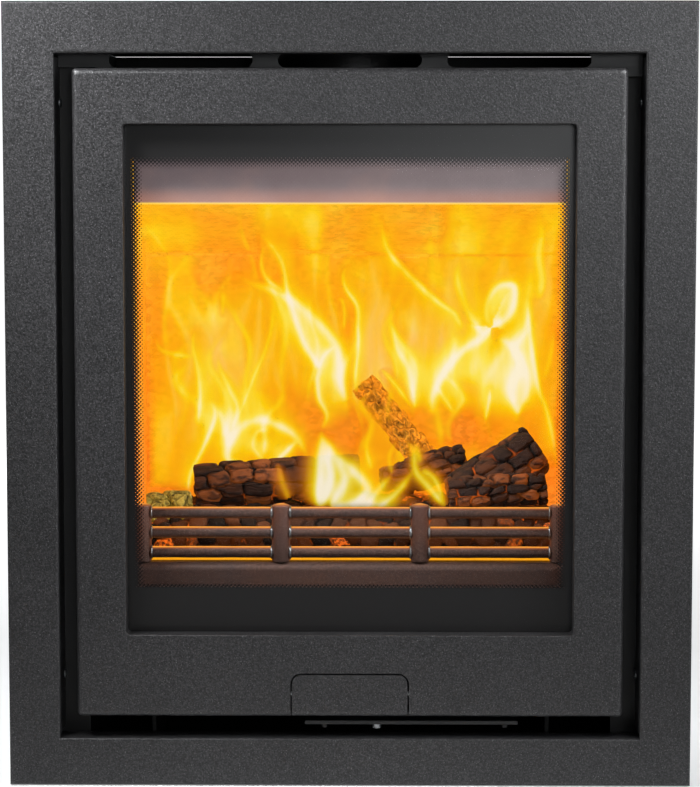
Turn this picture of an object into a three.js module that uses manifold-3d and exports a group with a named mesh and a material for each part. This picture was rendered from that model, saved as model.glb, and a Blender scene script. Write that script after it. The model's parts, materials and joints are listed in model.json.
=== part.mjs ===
// An inset wood-burning stove: a flush steel surround and glazed door, in front of a
// brick-lined firebox that stands in a sheet casing. Millimetres, +X right, +Z up.
// While it is built, y is the depth behind the surround's front face; the whole stove is
// then moved so that its origin lies at the bottom centre.
import * as THREE from "three";
import { mergeVertices } from "three/addons/utils/BufferGeometryUtils.js";
import Module from "manifold-3d";

const wasm = await Module();
wasm.setup();

// ---------------------------------------------------------------- driving dimensions

const clearance = 0.3; // between pieces that touch or are bolted together

// Surround: a folded sheet frame that stands proud of the wall
const frameWidth = 514;
const frameHeight = 588;
const frameSideBorder = 38.5;
const frameTopBorder = 38.5;
const frameBottomBorder = 36;
const frameSheet = 2.5;
const frameBend = 2;
const frameProud = 40;
const frameLip = 24; // depth of the folds along the top and bottom of the opening
const frameRelief = 2.6; // notch between neighbouring folds at each corner of the opening
const frameScrewHigh = 36; // upper screws, below the top of the opening
const frameScrewLow = 44; // lower screws, above the bottom of the opening
const frameScrewInset = 8; // screws, in front of the casing's flange
const frameScrewHead = 8;
const frameScrewHeadHeight = 2;
const frameScrewShank = 4;
const frameScrewLength = 9;

// Casing: the sheet jacket that goes into the fireplace opening
const casingJacket = 9; // from the firebox to the casing's outside
const casingDepth = 247; // behind the wall's face
const casingTopDrop = 32; // below the top of the surround
const casingSheet = 1.5;
const flangeSheet = 2;
const flangeReach = 35;
const flangeTopReach = 19;
const flangeBottomReach = 8;
const bracketReach = 24;
const footHeight = 12; // from the hearth to the casing
const footRadius = 14;
const footPad = 4;
const footStem = 8;
const footNut = 8;
const footStemAbove = 10;
const footInset = 9; // stems, from the casing's outside
const footEndInset = 15;

// Convection outlet above the door
const outletSheet = 2;
const outletHeight = 23;
const outletSlotWidth = 107.5;
const outletSlotHeight = 11;
const outletSlotPitch = 126.3;
const outletSlotDrop = 11; // slot centres, below the strip's top
const outletCount = 3;
const outletRelief = 1.2; // room over the door's hinge corner as it swings in

// Door
const doorSideGap = 13;
const doorTopGap = 10.8;
const doorBottomGap = 16.6;
const doorDepth = 20;
const doorFace = 5;
const doorWall = 4;
const doorEdgeRadius = 4.5;
const doorCornerRadius = 3;
const windowSideBorder = 37.5;
const windowTopBorder = 41.2;
const windowBottomBorder = 62.4;
const windowCornerRadius = 3;
const windowEdgeRadius = 1;
const revealDepth = 15;
const revealWall = 2.5;
const glassThickness = 4;
const glassOverlap = 7.5;
const glassCornerRadius = 4;
const gasketThickness = 1;
const gasketInset = 0.5;
const retainerSheet = 1.5;
const retainerFlange = 10;
const linerSheet = 2;
const linerGap = 0.3;
const linerBottomRise = 10.4; // liner's lower edge, above the door's
const linerCornerRadius = 2;
const sealDiameter = 9;

// Door hinges: lift-off, hidden behind the door's left edge
const hingeInset = 10; // axis, from the door's left edge
const hingeForward = 1; // axis, in front of the door's back edge
const knuckleRadius = 5;
const knuckleHeight = 20;
const knuckleGap = 0.4;
const hingePinRadius = 3;
const hingeBoreRadius = 3.3;
const hingeEndInset = 40; // lower hinge above the door's bottom, upper one below its top
const hingeArm = 2.4;
const hingeStrap = 4; // strap that ties the door's knuckle to its wall
const hingeNotchMargin = 3;

// Firebox
const fireboxPlate = 4;
const rearDuct = 21.6; // between the firebox and the casing's back
const seatSideMargin = 4; // opening in the seat plate, beyond the window
const seatTopMargin = 16;
const seatBottomMargin = 33;
const sealLand = 12.5; // rope's centre, outside the seat plate's opening
const seatTopEdge = 10; // seat plate above the rope's centre
const seatSideEdge = 7.5;
const seatBottomEdge = 15.5;
const seatCornerRadius = 10;
const seatOuterRadius = 1;
const flueRadius = 62.5;
const flueWall = 3;
const flueCollarHeight = 44;
const flueFlange = 12;
const flueFlangeThickness = 3;
const flueFromBack = 85; // flue's centre, in front of the back plate
const casingFlueGap = 3;

// Fire bricks and what the fire lies on
const sideBrick = 16.5;
const rearBrick = 24.5;
const sideBrickFront = 5; // behind the seat plate
const sideBrickTopDrop = 36; // below the firebox's top
const rearBrickSeamDrop = 171; // below the firebox's top
const rearBrickTopDrop = 66; // below the firebox's top
const baffleThickness = 15;
const baffleFront = 49; // behind the seat plate
const baffleFrontDrop = 84; // underside at the front, below the firebox's top
const baffleRearDrop = 145;
const throatStep = 1; // from the step in the side bricks' tops to the baffle
const hearthHeight = 63; // hearth plate's top, above the ash floor
const hearthPlate = 8;
const ledgeWidth = 12;
const ledgeHeight = 8;
const ledgeInset = 9;
const grateSide = 32; // from the brick to the grate
const grateRear = 13;
const grateThickness = 8;
const grateFront = 41; // behind the seat plate
const grateRest = 10;
const grateBars = 16;
const grateSlot = 8;
const grateRim = 14;
const ashPanSide = 60; // from the firebox's wall to the pan
const ashPanRear = 45;
const ashPanHeight = 46;
const ashPanSheet = 1.5;
const ashPanFront = 14; // behind the seat plate
const ashPanLip = 8;
const ashPanLipInset = 84; // lip's ends, inside the pan's

// Airwash deflector behind the top of the glass
const deflectorSide = 25; // from the firebox's wall to the deflector
const deflectorSheet = 3;
const deflectorDrop = 60; // lower edge, below the top of the window
const deflectorFixing = 18;
const deflectorBelly = 9; // how far the sheet bows back
const deflectorKnee = 14; // knee, below the seat plate's opening
const deflectorFoot = 3.5; // lower edge, behind the fixing

// Log guard
const guardBaseHeight = 17;
const guardBaseDepth = 16;
const guardBaseRadius = 6;
const guardGap = 2.5; // between the base bar and the side bricks
const guardFront = 16; // behind the seat plate
const guardPostRadius = 7;
const guardPostHeight = 45;
const guardPostDome = 2;
const guardPostEndInset = 8.5; // outer posts' centres, inside the base bar's ends
const guardPostCount = 4;
const guardRailRadius = 4.5;
const guardRailFit = 0.3;
const guardRailFirst = 7.5;
const guardRailPitch = 15.3;
const guardRailCount = 3;
const guardDowelRadius = 4;
const guardDowelLength = 7;
const guardDowelSpread = 120;

// Air control under the firebox
const sliderLeft = -34; // visible tongue
const sliderRight = 127;
const sliderSheet = 3;
const sliderBelowDoor = 4.3;
const sliderFront = 8;
const valveLeft = -105;
const valveDepth = 84;
const airBoxFront = 33; // behind the seat plate
const airBoxWidth = 236;
const airBoxSheet = 2;
const portCount = 4;
const portPitch = 56;
const portWidth = 24;
const portDepth = 50;
const airHoleWidth = 120;
const airHoleDepth = 40;
const studDrop = 3.4;
const studInset = 6;
const studRadius = 2.3;
const knobRadius = 3.5;
const leftStud = -19.3;
const knobPlace = 20.5;
const rightStud = 117.4;
const cradleMargin = 6; // floor's edge, inside the firebox's outside
const cradleSetback = 19; // behind the seat plate
const cradleInner = 300;
const cradleSheet = 3;
const guideDepth = 6;
const guideInset = 4;

// Handle flap and its latch
const flapWidth = 87;
const flapHeight = 32;
const flapCorner = 7;
const flapThickness = 3;
const flapGap = 1.2;
const flapPivotRise = 17.4; // above the flap's lower edge
const flapPivotDepth = 4;
const flapPinRadius = 1.5;
const flapPinFit = 0.4;
const flapPinGrip = 7; // how far the pin goes into the door at each end
const flapKnuckle = 3.5;
const flapKnuckleLength = 9;
const flapBoss = 4;
const hookWidth = 10;
const hookRise = 1.9; // arm, above the flap's lower edge
const hookSheet = 2.5;
const hookLeg = 9.5;
const hookTip = 2.6;
const hookTipDepth = 3;
const hookSlot = 3; // room on each side of the hook
const keeperClear = 0.4;
const keeperSheet = 2;
const keeperLip = 2;
const keeperWidth = 24;
const keeperFoot = 6;
const keeperFootDrop = 5;

// Fire
const emberSide = 10; // from the brick to the coals
const emberHeight = 46;
const emberRipple = 4;
const emberColumns = 24;
const emberRows = 12;
const fireSegments = 12;
const leftLogInset = 47; // left end, from the left brick
const leftLogLength = 130;
const leftLogSetback = 100; // behind the seat plate
const leftLogSkew = 8; // how much further back its right end lies
const leftLogRise = 58; // left end's middle, above the grate
const leftLogTilt = 8; // how much higher its right end lies
const leftLogRadius = 21;
const endLogInset = 11;
const endLogLength = 35;
const endLogSetback = 66;
const endLogSkew = 4;
const endLogRise = 44;
const endLogTilt = 2;
const endLogRadius = 14;
const rightLogInset = 25; // upper end, from the right brick
const rightLogLength = 64;
const rightLogSetback = 84;
const rightLogSkew = 12;
const rightLogRise = 50;
const rightLogTilt = 40;
const rightLogRadius = 26;

// ---------------------------------------------------------------- finishes

function finish(color, roughness, metalness) {
  return new THREE.MeshStandardMaterial({ color, roughness, metalness });
}

const powderCoat = () => finish(0x3c3d3f, 0.55, 0.35);
const blackSteel = () => finish(0x1b1b1c, 0.6, 0.6);
const zincSheet = () => finish(0x8d9093, 0.45, 0.85);
const heatSteel = () => finish(0x5a514c, 0.55, 0.75);
const castIron = () => finish(0x2a2827, 0.7, 0.7);
const fireBrick = () => finish(0xa8703c, 0.95, 0);
const darkGlass = () => {
  const glass = finish(0x191a1c, 0.05, 0);
  glass.transparent = true;
  glass.opacity = 0.35;
  return glass;
};
const ropeFibre = () => finish(0x2c2b29, 0.95, 0);
const boltSteel = () => finish(0x55575a, 0.4, 0.9);
const charredWood = () => finish(0x1e1512, 0.95, 0);
const barkWood = () => finish(0x4a3a22, 0.95, 0);
const glowingCoal = () => {
  const coal = finish(0x5c1c08, 0.9, 0);
  coal.emissive = new THREE.Color(0xff4a08);
  coal.emissiveIntensity = 0.6;
  return coal;
};

// ---------------------------------------------------------------- tools for making solids

const X = new THREE.Vector3(1, 0, 0);
const Y = new THREE.Vector3(0, 1, 0);
const Z = new THREE.Vector3(0, 0, 1);
const weld = 1e-4;
const roundSides = 20;
const cornerSteps = 4;

/** Turns closed geometry into a solid that can be cut and joined. */
function solidOf(geometry) {
  const bare = geometry.clone();
  bare.deleteAttribute("normal");
  bare.deleteAttribute("uv");
  const merged = mergeVertices(bare, weld);
  const corners = merged.index.array;
  const faces = [];
  for (let i = 0; i < corners.length; i += 3) {
    const [a, b, c] = [corners[i], corners[i + 1], corners[i + 2]];
    if (a !== b && b !== c && c !== a) faces.push(a, b, c);
  }
  return new wasm.Manifold(new wasm.Mesh({
    numProp: 3,
    vertProperties: Float32Array.from(merged.attributes.position.array),
    triVerts: Uint32Array.from(faces),
  }));
}

function geometryOf(solid) {
  const { vertProperties, triVerts } = solid.getMesh();
  const geometry = new THREE.BufferGeometry();
  geometry.setAttribute("position", new THREE.BufferAttribute(vertProperties, 3));
  geometry.setIndex(new THREE.BufferAttribute(triVerts, 1));
  const faceted = geometry.toNonIndexed();
  faceted.computeVertexNormals();
  return faceted;
}

/** A box from its spans along x, y and z. */
function block([x0, x1], [y0, y1], [z0, z1]) {
  const box = new THREE.BoxGeometry(x1 - x0, y1 - y0, z1 - z0);
  return solidOf(box.translate((x0 + x1) / 2, (y0 + y1) / 2, (z0 + z1) / 2));
}

/** A round bar between two points. */
function bar(radius, start, end, sides = roundSides) {
  const axis = new THREE.Vector3().subVectors(end, start);
  const rod = new THREE.CylinderGeometry(radius, radius, axis.length(), sides);
  rod.translate(0, axis.length() / 2, 0);
  rod.applyQuaternion(new THREE.Quaternion().setFromUnitVectors(Y, axis.normalize()));
  return solidOf(rod.translate(start.x, start.y, start.z));
}

/** A turned piece: [radius, height] points, turned about an axis through a place. */
function turned(profile, place, axis = Z, sides = roundSides) {
  const lathe = new THREE.LatheGeometry(profile.map((p) => new THREE.Vector2(...p)), sides);
  lathe.applyQuaternion(new THREE.Quaternion().setFromUnitVectors(Y, axis));
  return solidOf(lathe.translate(place.x, place.y, place.z));
}

/** A shape drawn in x and z, carried from one depth to another. */
function facing(shape, [y0, y1], curveSegments = cornerSteps) {
  const options = { depth: y1 - y0, bevelEnabled: false, curveSegments };
  const plate = new THREE.ExtrudeGeometry(shape, options);
  return solidOf(plate.rotateX(Math.PI / 2).translate(0, y1, 0));
}

/** A shape drawn in y and z, carried across from one x to another. */
function sideways(shape, [x0, x1]) {
  const plate = new THREE.ExtrudeGeometry(shape, { depth: x1 - x0, bevelEnabled: false });
  plate.applyMatrix4(new THREE.Matrix4().makeBasis(Y, Z, X));
  return solidOf(plate.translate(x0, 0, 0));
}

function polygon(points) {
  return new THREE.Shape(points.map(([u, v]) => new THREE.Vector2(u, v)));
}

/** The outline of a sheet bent along a path, with mitred bends. */
function bentSheet(path, thickness) {
  const points = path.map(([u, v]) => new THREE.Vector2(u, v));
  const normals = points.slice(1).map((point, i) => {
    const along = point.clone().sub(points[i]).normalize();
    return new THREE.Vector2(-along.y, along.x);
  });
  const far = points.map((point, i) => {
    const before = normals[Math.max(i - 1, 0)];
    const after = normals[Math.min(i, normals.length - 1)];
    const mitre = before.clone().add(after).normalize();
    return point.clone().addScaledVector(mitre, thickness / mitre.dot(after));
  });
  return new THREE.Shape([...points, ...far.reverse()]);
}

const rectangle = (x0, x1, z0, z1) => ({ x0, x1, z0, z1 });

function grown({ x0, x1, z0, z1 }, side, top = side, bottom = side) {
  return rectangle(x0 - side, x1 + side, z0 - bottom, z1 + top);
}

/** A rectangle's outline with round corners, as a shape. */
function roundedShape({ x0, x1, z0, z1 }, radius) {
  const shape = new THREE.Shape();
  shape.moveTo(x0 + radius, z0);
  shape.lineTo(x1 - radius, z0);
  shape.absarc(x1 - radius, z0 + radius, radius, -Math.PI / 2, 0);
  shape.lineTo(x1, z1 - radius);
  shape.absarc(x1 - radius, z1 - radius, radius, 0, Math.PI / 2);
  shape.lineTo(x0 + radius, z1);
  shape.absarc(x0 + radius, z1 - radius, radius, Math.PI / 2, Math.PI);
  shape.lineTo(x0, z0 + radius);
  shape.absarc(x0 + radius, z0 + radius, radius, Math.PI, Math.PI * 1.5);
  return shape;
}

/** A rectangle's outline at a depth, as a loop of points with round corners. */
function loop({ x0, x1, z0, z1 }, depth, radius = 0) {
  const steps = radius > 0 ? cornerSteps : 0;
  const centres = [
    [x1 - radius, z0 + radius, -0.5],
    [x1 - radius, z1 - radius, 0],
    [x0 + radius, z1 - radius, 0.5],
    [x0 + radius, z0 + radius, 1],
  ];
  return centres.flatMap(([cx, cz, quarter]) => {
    const corner = [];
    for (let i = 0; i <= steps; i += 1) {
      const angle = Math.PI * (quarter + (steps ? i / steps : 0) / 2);
      const x = cx + radius * Math.cos(angle);
      corner.push(new THREE.Vector3(x, depth, cz + radius * Math.sin(angle)));
    }
    return corner;
  });
}

/** A skin through loops of equal count: a ring joins last to first, otherwise ends are capped. */
function skin(loops, ring = false) {
  const count = loops[0].length;
  const places = loops.flat().flatMap((point) => point.toArray());
  const faces = [];
  const joins = ring ? loops.length : loops.length - 1;
  for (let level = 0; level < joins; level += 1) {
    const here = level * count;
    const next = ((level + 1) % loops.length) * count;
    for (let i = 0; i < count; i += 1) {
      const j = (i + 1) % count;
      faces.push(here + i, here + j, next + j, here + i, next + j, next + i);
    }
  }
  if (!ring) {
    const last = (loops.length - 1) * count;
    for (let i = 1; i < count - 1; i += 1) {
      faces.push(0, i + 1, i, last, last + i, last + i + 1);
    }
  }
  const geometry = new THREE.BufferGeometry();
  geometry.setAttribute("position", new THREE.Float32BufferAttribute(places, 3));
  geometry.setIndex(faces);
  if (volumeOf(geometry) < 0) geometry.setIndex(faces.reverse());
  return solidOf(geometry);
}

/** Signed volume inside a closed geometry: negative when its faces look inwards. */
function volumeOf(geometry) {
  const corners = geometry.index.array;
  const place = geometry.attributes.position;
  const [a, b, c] = [new THREE.Vector3(), new THREE.Vector3(), new THREE.Vector3()];
  let volume = 0;
  for (let i = 0; i < corners.length; i += 3) {
    a.fromBufferAttribute(place, corners[i]);
    b.fromBufferAttribute(place, corners[i + 1]);
    c.fromBufferAttribute(place, corners[i + 2]);
    volume += a.dot(b.cross(c)) / 6;
  }
  return volume;
}

/** Quarter-round steps from a face to a wall: [inset, depth] pairs. */
function edgeRound(radius, steps = 4) {
  const pairs = [];
  for (let i = 0; i <= steps; i += 1) {
    const angle = (Math.PI / 2) * (i / steps);
    pairs.push([radius * (1 - Math.sin(angle)), radius * (1 - Math.cos(angle))]);
  }
  return pairs;
}

/** Spreads copies evenly about a middle. */
function spread(count, pitch, middle = 0) {
  return Array.from({ length: count }, (_, i) => middle + (i - (count - 1) / 2) * pitch);
}

const stove = new THREE.Group();

function part(name, solid, material) {
  const mesh = new THREE.Mesh(geometryOf(solid), material());
  mesh.name = name;
  stove.add(mesh);
  return mesh;
}

// ---------------------------------------------------------------- derived places

const overallDepth = frameProud + casingDepth;
const outline = rectangle(-frameWidth / 2, frameWidth / 2, 0, frameHeight);
const opening = rectangle(
  outline.x0 + frameSideBorder,
  outline.x1 - frameSideBorder,
  frameBottomBorder,
  frameHeight - frameTopBorder,
);
const flangeFront = frameProud - flangeSheet;

const door = rectangle(
  opening.x0 + doorSideGap,
  opening.x1 - doorSideGap,
  opening.z0 + doorBottomGap,
  opening.z1 - doorTopGap,
);
const glazing = rectangle(
  door.x0 + windowSideBorder,
  door.x1 - windowSideBorder,
  door.z0 + windowBottomBorder,
  door.z1 - windowTopBorder,
);
const glassFront = revealDepth + gasketThickness + 2 * clearance;
const glassBack = glassFront + glassThickness;
const linerFront = revealDepth + clearance;
const linerBack = linerFront + linerSheet;
const sealMiddle = linerBack + clearance + sealDiameter / 2;
const seatFront = sealMiddle + sealDiameter / 2 + clearance;
const seatBack = seatFront + fireboxPlate;

const seatOpening = grown(glazing, seatSideMargin, seatTopMargin, seatBottomMargin);
const sealPath = grown(seatOpening, sealLand);
const fireboxHalf = sealPath.x1 + seatSideEdge;
const seatPlate = rectangle(
  -fireboxHalf,
  fireboxHalf,
  sealPath.z0 - seatBottomEdge,
  sealPath.z1 + seatTopEdge,
);
const fireboxTop = seatPlate.z1;
const ashFloor = seatOpening.z0;
const fireboxInner = fireboxHalf - fireboxPlate;
const backFront = overallDepth - casingSheet - rearDuct - fireboxPlate;
const hearthTop = ashFloor + hearthHeight;
const brickFace = fireboxInner - clearance - sideBrick;
const rearBrickFront = backFront - clearance - rearBrick;

const casingTop = frameHeight - casingTopDrop;
const casingHalf = fireboxHalf + casingJacket;
const flueDepth = backFront - flueFromBack;

const hingeX = door.x0 + hingeInset;
const hingeY = doorDepth - hingeForward;
const hingeHeights = [
  door.z0 + hingeEndInset,
  door.z1 - hingeEndInset - 2 * knuckleHeight - knuckleGap,
];

const sliderTop = door.z0 - sliderBelowDoor;
const sliderBottom = sliderTop - sliderSheet;
const airBoxBottom = sliderTop + clearance;

const flapBottom = door.z0;
const flapAxis = flapBottom + flapPivotRise;
const flapOutline = rectangle(
  -flapWidth / 2,
  flapWidth / 2,
  flapBottom,
  flapBottom + flapHeight,
);
const hookBottom = flapBottom + hookRise;
const hookBack = seatFront - clearance - 2 * keeperClear;
const hookTipTop = hookBottom + hookSheet + hookTip;

// ---------------------------------------------------------------- surround

/** A hat section folded round the opening: outer return, face and inner return. */
function surroundFrame() {
  const round = edgeRound(frameBend, 5);
  const outer = round.map(([inset, depth]) => loop(grown(outline, -inset), depth));
  const inner = round.map(([inset, depth]) => loop(grown(opening, inset), depth));
  const sheet = skin([
    loop(outline, frameProud),
    ...outer.reverse(),
    ...inner,
    loop(opening, frameLip),
    loop(grown(opening, frameSheet), frameLip),
    loop(grown(opening, frameSheet), frameSheet),
    loop(grown(outline, -frameSheet), frameSheet),
    loop(grown(outline, -frameSheet), frameProud),
  ], true);
  const lipSpan = [frameSheet, flangeFront - 2 * clearance];
  const rightLip = block([opening.x1, opening.x1 + frameSheet], lipSpan, [opening.z0, opening.z1]);
  const leftLip = block([opening.x0 - frameSheet, opening.x0], lipSpan, [opening.z0, opening.z1]);
  return drilledForScrews(relieved(sheet.add(rightLip).add(leftLip)));
}

/** Notches the side returns where they would meet the folds along the top and bottom. */
function relieved(solid) {
  const past = frameSheet + clearance;
  const sides = [[opening.x0 - past, opening.x0], [opening.x1, opening.x1 + past]];
  const ends = [
    [opening.z0, opening.z0 + frameRelief],
    [opening.z1 - frameRelief, opening.z1],
  ];
  const notches = sides.flatMap((x) => ends.map((z) => block(x, [frameSheet, frameProud], z)));
  return notches.reduce((left, notch) => left.subtract(notch), solid);
}

const frameScrewY = flangeFront - frameScrewInset;
const frameScrewHeights = [opening.z0 + frameScrewLow, opening.z1 - frameScrewHigh];

function drilledForScrews(solid) {
  const reach = outline.x1;
  return frameScrewHeights.reduce((left, z) => left.subtract(bar(
    frameScrewShank / 2 + clearance,
    new THREE.Vector3(-reach + frameSheet + 1, frameScrewY, z),
    new THREE.Vector3(reach - frameSheet - 1, frameScrewY, z),
  )), solid);
}

/** A pan-head screw that clamps a side return to the casing's bracket. */
function frameScrew(side, z) {
  const head = frameScrewHead / 2;
  const shank = frameScrewShank / 2;
  const profile = [
    [0, -frameScrewHeadHeight],
    [head * 0.6, -frameScrewHeadHeight],
    [head * 0.9, -frameScrewHeadHeight * 0.6],
    [head, 0],
    [shank, 0],
    [shank, frameScrewLength],
    [0, frameScrewLength],
  ];
  const seat = new THREE.Vector3(side * (opening.x1 - clearance), frameScrewY, z);
  return turned(profile, seat, X.clone().multiplyScalar(side), 12);
}

part("surround_frame", surroundFrame(), powderCoat);
for (const [sideName, side] of [["left", -1], ["right", 1]]) {
  frameScrewHeights.forEach((z, i) => {
    part(`frame_screw_${sideName}_${i ? "upper" : "lower"}`, frameScrew(side, z), boltSteel);
  });
}

// ---------------------------------------------------------------- convection outlet

function outletStrip() {
  const back = flangeFront - clearance;
  const front = frameLip + clearance;
  const bottom = casingTop - outletHeight;
  const path = [[back, casingTop], [front, casingTop], [front, bottom]];
  const half = opening.x1 - clearance;
  const relief = block(
    [-frameWidth, hingeX + knuckleRadius + outletRelief],
    [0, frameProud],
    [0, door.z1 + outletRelief],
  );
  const strip = sideways(bentSheet(path, outletSheet), [-half, half]).subtract(relief);
  const z = casingTop - outletSlotDrop;
  return spread(outletCount, outletSlotPitch).reduce((left, x) => {
    const slot = rectangle(
      x - outletSlotWidth / 2,
      x + outletSlotWidth / 2,
      z - outletSlotHeight / 2,
      z + outletSlotHeight / 2,
    );
    const radius = outletSlotHeight / 2 - weld;
    return left.subtract(facing(roundedShape(slot, radius), [0, frameProud], 6));
  }, strip);
}

part("convection_outlet_strip", outletStrip(), blackSteel);

// ---------------------------------------------------------------- casing

/** Side panel with its wall flange and the bracket that the surround is screwed to. */
function casingSide() {
  const spanZ = [footHeight + casingSheet + clearance, casingTop - casingSheet - clearance];
  const panelX = [casingHalf - casingSheet, casingHalf];
  const panel = block(panelX, [flangeFront, overallDepth - casingSheet - clearance], spanZ);
  const flange = block([casingHalf, casingHalf + flangeReach], [flangeFront, frameProud], spanZ);
  const bracketX = opening.x1 + frameSheet + clearance;
  const bracket = block(
    [bracketX, bracketX + flangeSheet],
    [frameProud - bracketReach, frameProud],
    [opening.z0 + frameSheet, opening.z1 - frameSheet],
  );
  return drilledForScrews(panel.add(flange).add(bracket));
}

function casingPlate(z0, z1) {
  return block([-casingHalf, casingHalf], [flangeFront, overallDepth], [z0, z1]);
}

/** Top panel with an upright wall flange and a hole for the flue collar. */
function casingTopPanel() {
  const plate = casingPlate(casingTop - casingSheet, casingTop);
  const reach = casingHalf + flangeReach;
  const flange = block(
    [-reach, reach],
    [flangeFront, frameProud],
    [casingTop - casingSheet, casingTop + flangeTopReach],
  );
  const hole = bar(
    flueRadius + casingFlueGap,
    new THREE.Vector3(0, flueDepth, casingTop - 2 * casingSheet),
    new THREE.Vector3(0, flueDepth, casingTop + casingSheet),
    32,
  );
  return plate.add(flange).subtract(hole);
}

const footPlaces = [-1, 1].flatMap((side) => [
  frameProud + footEndInset,
  overallDepth - footEndInset,
].map((y) => new THREE.Vector3(side * (casingHalf - footInset), y, 0)));

/** Base panel with a wall flange turned down and four holes for the feet. */
function casingBasePanel() {
  const reach = casingHalf + flangeReach;
  const plate = casingPlate(footHeight, footHeight + casingSheet);
  const flange = block(
    [-reach, reach],
    [flangeFront, frameProud],
    [footHeight - flangeBottomReach, footHeight + casingSheet],
  );
  return footPlaces.reduce((left, place) => left.subtract(bar(
    footStem / 2 + clearance,
    place.clone().setZ(footHeight - casingSheet),
    place.clone().setZ(footHeight + 2 * casingSheet),
  )), plate.add(flange));
}

/** A levelling foot: round pad, threaded stem and a hexagonal nut under the casing. */
function levellingFoot(place) {
  const stemTop = footHeight + casingSheet + footStemAbove;
  const stem = turned([
    [0, 0],
    [footRadius - 1, 0],
    [footRadius, 1],
    [footRadius, footPad - 1],
    [footRadius - 1, footPad],
    [footStem / 2, footPad],
    [footStem / 2, stemTop],
    [0, stemTop],
  ], place);
  const nut = bar(
    footNut,
    place.clone().setZ(footPad),
    place.clone().setZ(footHeight - clearance),
    6,
  );
  return stem.add(nut);
}

const casingRight = casingSide();
part("casing_right", casingRight, zincSheet);
part("casing_left", casingRight.mirror([1, 0, 0]), zincSheet);
part("casing_back", block(
  [-casingHalf, casingHalf],
  [overallDepth - casingSheet, overallDepth],
  [footHeight + casingSheet + clearance, casingTop - casingSheet - clearance],
), zincSheet);
part("casing_top", casingTopPanel(), zincSheet);
part("casing_base", casingBasePanel(), zincSheet);
footPlaces.forEach((place, i) => {
  part(`levelling_foot_${i + 1}`, levellingFoot(place), boltSteel);
});

// ---------------------------------------------------------------- firebox

/** Seat plate that the door closes on. */
function fireboxFront() {
  const plate = roundedShape(seatPlate, seatOuterRadius);
  plate.holes.push(roundedShape(seatOpening, seatCornerRadius));
  return facing(plate, [seatFront, seatBack]);
}

/** Right-hand wall with the ledge that carries the hearth plate. */
function fireboxSide() {
  const wall = block(
    [fireboxInner, fireboxHalf],
    [seatBack + clearance, backFront - clearance],
    [ashFloor + clearance, fireboxTop - fireboxPlate - clearance],
  );
  const ledgeTop = hearthTop - hearthPlate - clearance;
  const ledge = block(
    [fireboxInner - ledgeWidth, fireboxInner],
    [seatBack + ledgeInset, backFront - ledgeInset],
    [ledgeTop - ledgeHeight, ledgeTop],
  );
  return wall.add(ledge);
}

function fireboxPlateAt(z0, z1) {
  const y = [seatBack + clearance, backFront + fireboxPlate];
  return block([-fireboxHalf, fireboxHalf], y, [z0, z1]);
}

function flueHole(radius, z0, z1) {
  return bar(
    radius,
    new THREE.Vector3(0, flueDepth, z0),
    new THREE.Vector3(0, flueDepth, z1),
    32,
  );
}

const flueBase = new THREE.Vector3(0, flueDepth, fireboxTop + clearance);

/** Round spigot that the flue pipe fits over. */
function flueCollar() {
  const inner = flueRadius - flueWall;
  return turned([
    [inner, 0],
    [flueRadius, 0],
    [flueRadius, flueCollarHeight - 1],
    [flueRadius - 1, flueCollarHeight],
    [inner, flueCollarHeight],
    [inner, 0],
  ], flueBase, Z, 32);
}

/** Ring that clamps the spigot to the firebox's top. */
function flueFlangeRing() {
  const inner = flueRadius + clearance;
  const outer = flueRadius + flueFlange;
  return turned([
    [inner, 0],
    [outer, 0],
    [outer, flueFlangeThickness],
    [inner, flueFlangeThickness],
    [inner, 0],
  ], flueBase, Z, 32);
}

const fireboxRight = fireboxSide();
part("firebox_front", fireboxFront(), blackSteel);
part("firebox_right", fireboxRight, heatSteel);
part("firebox_left", fireboxRight.mirror([1, 0, 0]), heatSteel);
part("firebox_back", block(
  [-fireboxHalf, fireboxHalf],
  [backFront, backFront + fireboxPlate],
  [ashFloor + clearance, fireboxTop - fireboxPlate - clearance],
), heatSteel);
part("firebox_top", fireboxPlateAt(fireboxTop - fireboxPlate, fireboxTop).subtract(
  flueHole(flueRadius - flueWall, fireboxTop - 2 * fireboxPlate, fireboxTop + fireboxPlate),
), heatSteel);
part("flue_collar", flueCollar(), castIron);
part("flue_flange", flueFlangeRing(), castIron);

const airBoxY = [seatBack + airBoxFront, seatBack + airBoxFront + valveDepth];
const airMiddleY = (airBoxY[0] + airBoxY[1]) / 2;

/** Ash floor of the firebox, with the hole that the primary air comes up through. */
function fireboxBase() {
  const hole = block(
    [-airHoleWidth / 2, airHoleWidth / 2],
    [airMiddleY - airHoleDepth / 2, airMiddleY + airHoleDepth / 2],
    [ashFloor - 2 * fireboxPlate, ashFloor + fireboxPlate],
  );
  return fireboxPlateAt(ashFloor - fireboxPlate, ashFloor).subtract(hole);
}

part("firebox_base", fireboxBase(), heatSteel);

// ---------------------------------------------------------------- cradle and air control

/** Welded cradle: floor, two side walls and the two rails that the air slide runs on. */
function cradle() {
  const floorZ = footHeight + casingSheet + clearance;
  const top = ashFloor - fireboxPlate - clearance;
  const depth = [seatBack + cradleSetback, backFront];
  const floor = block(
    [-fireboxHalf + cradleMargin, fireboxHalf - cradleMargin],
    depth,
    [floorZ, floorZ + cradleSheet],
  );
  const walls = [-1, 1].map((side) => {
    const x = side * (cradleInner / 2 + cradleSheet / 2);
    return block([x - cradleSheet / 2, x + cradleSheet / 2], depth, [floorZ, top]);
  });
  const guides = [
    airBoxY[0] + guideInset,
    airBoxY[1] - guideInset - guideDepth,
  ].map((y) => block(
    [-cradleInner / 2 - cradleSheet / 2, cradleInner / 2 + cradleSheet / 2],
    [y, y + guideDepth],
    [sliderBottom - clearance - cradleSheet, sliderBottom - clearance],
  ));
  return [...walls, ...guides].reduce((left, piece) => left.add(piece), floor);
}

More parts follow.
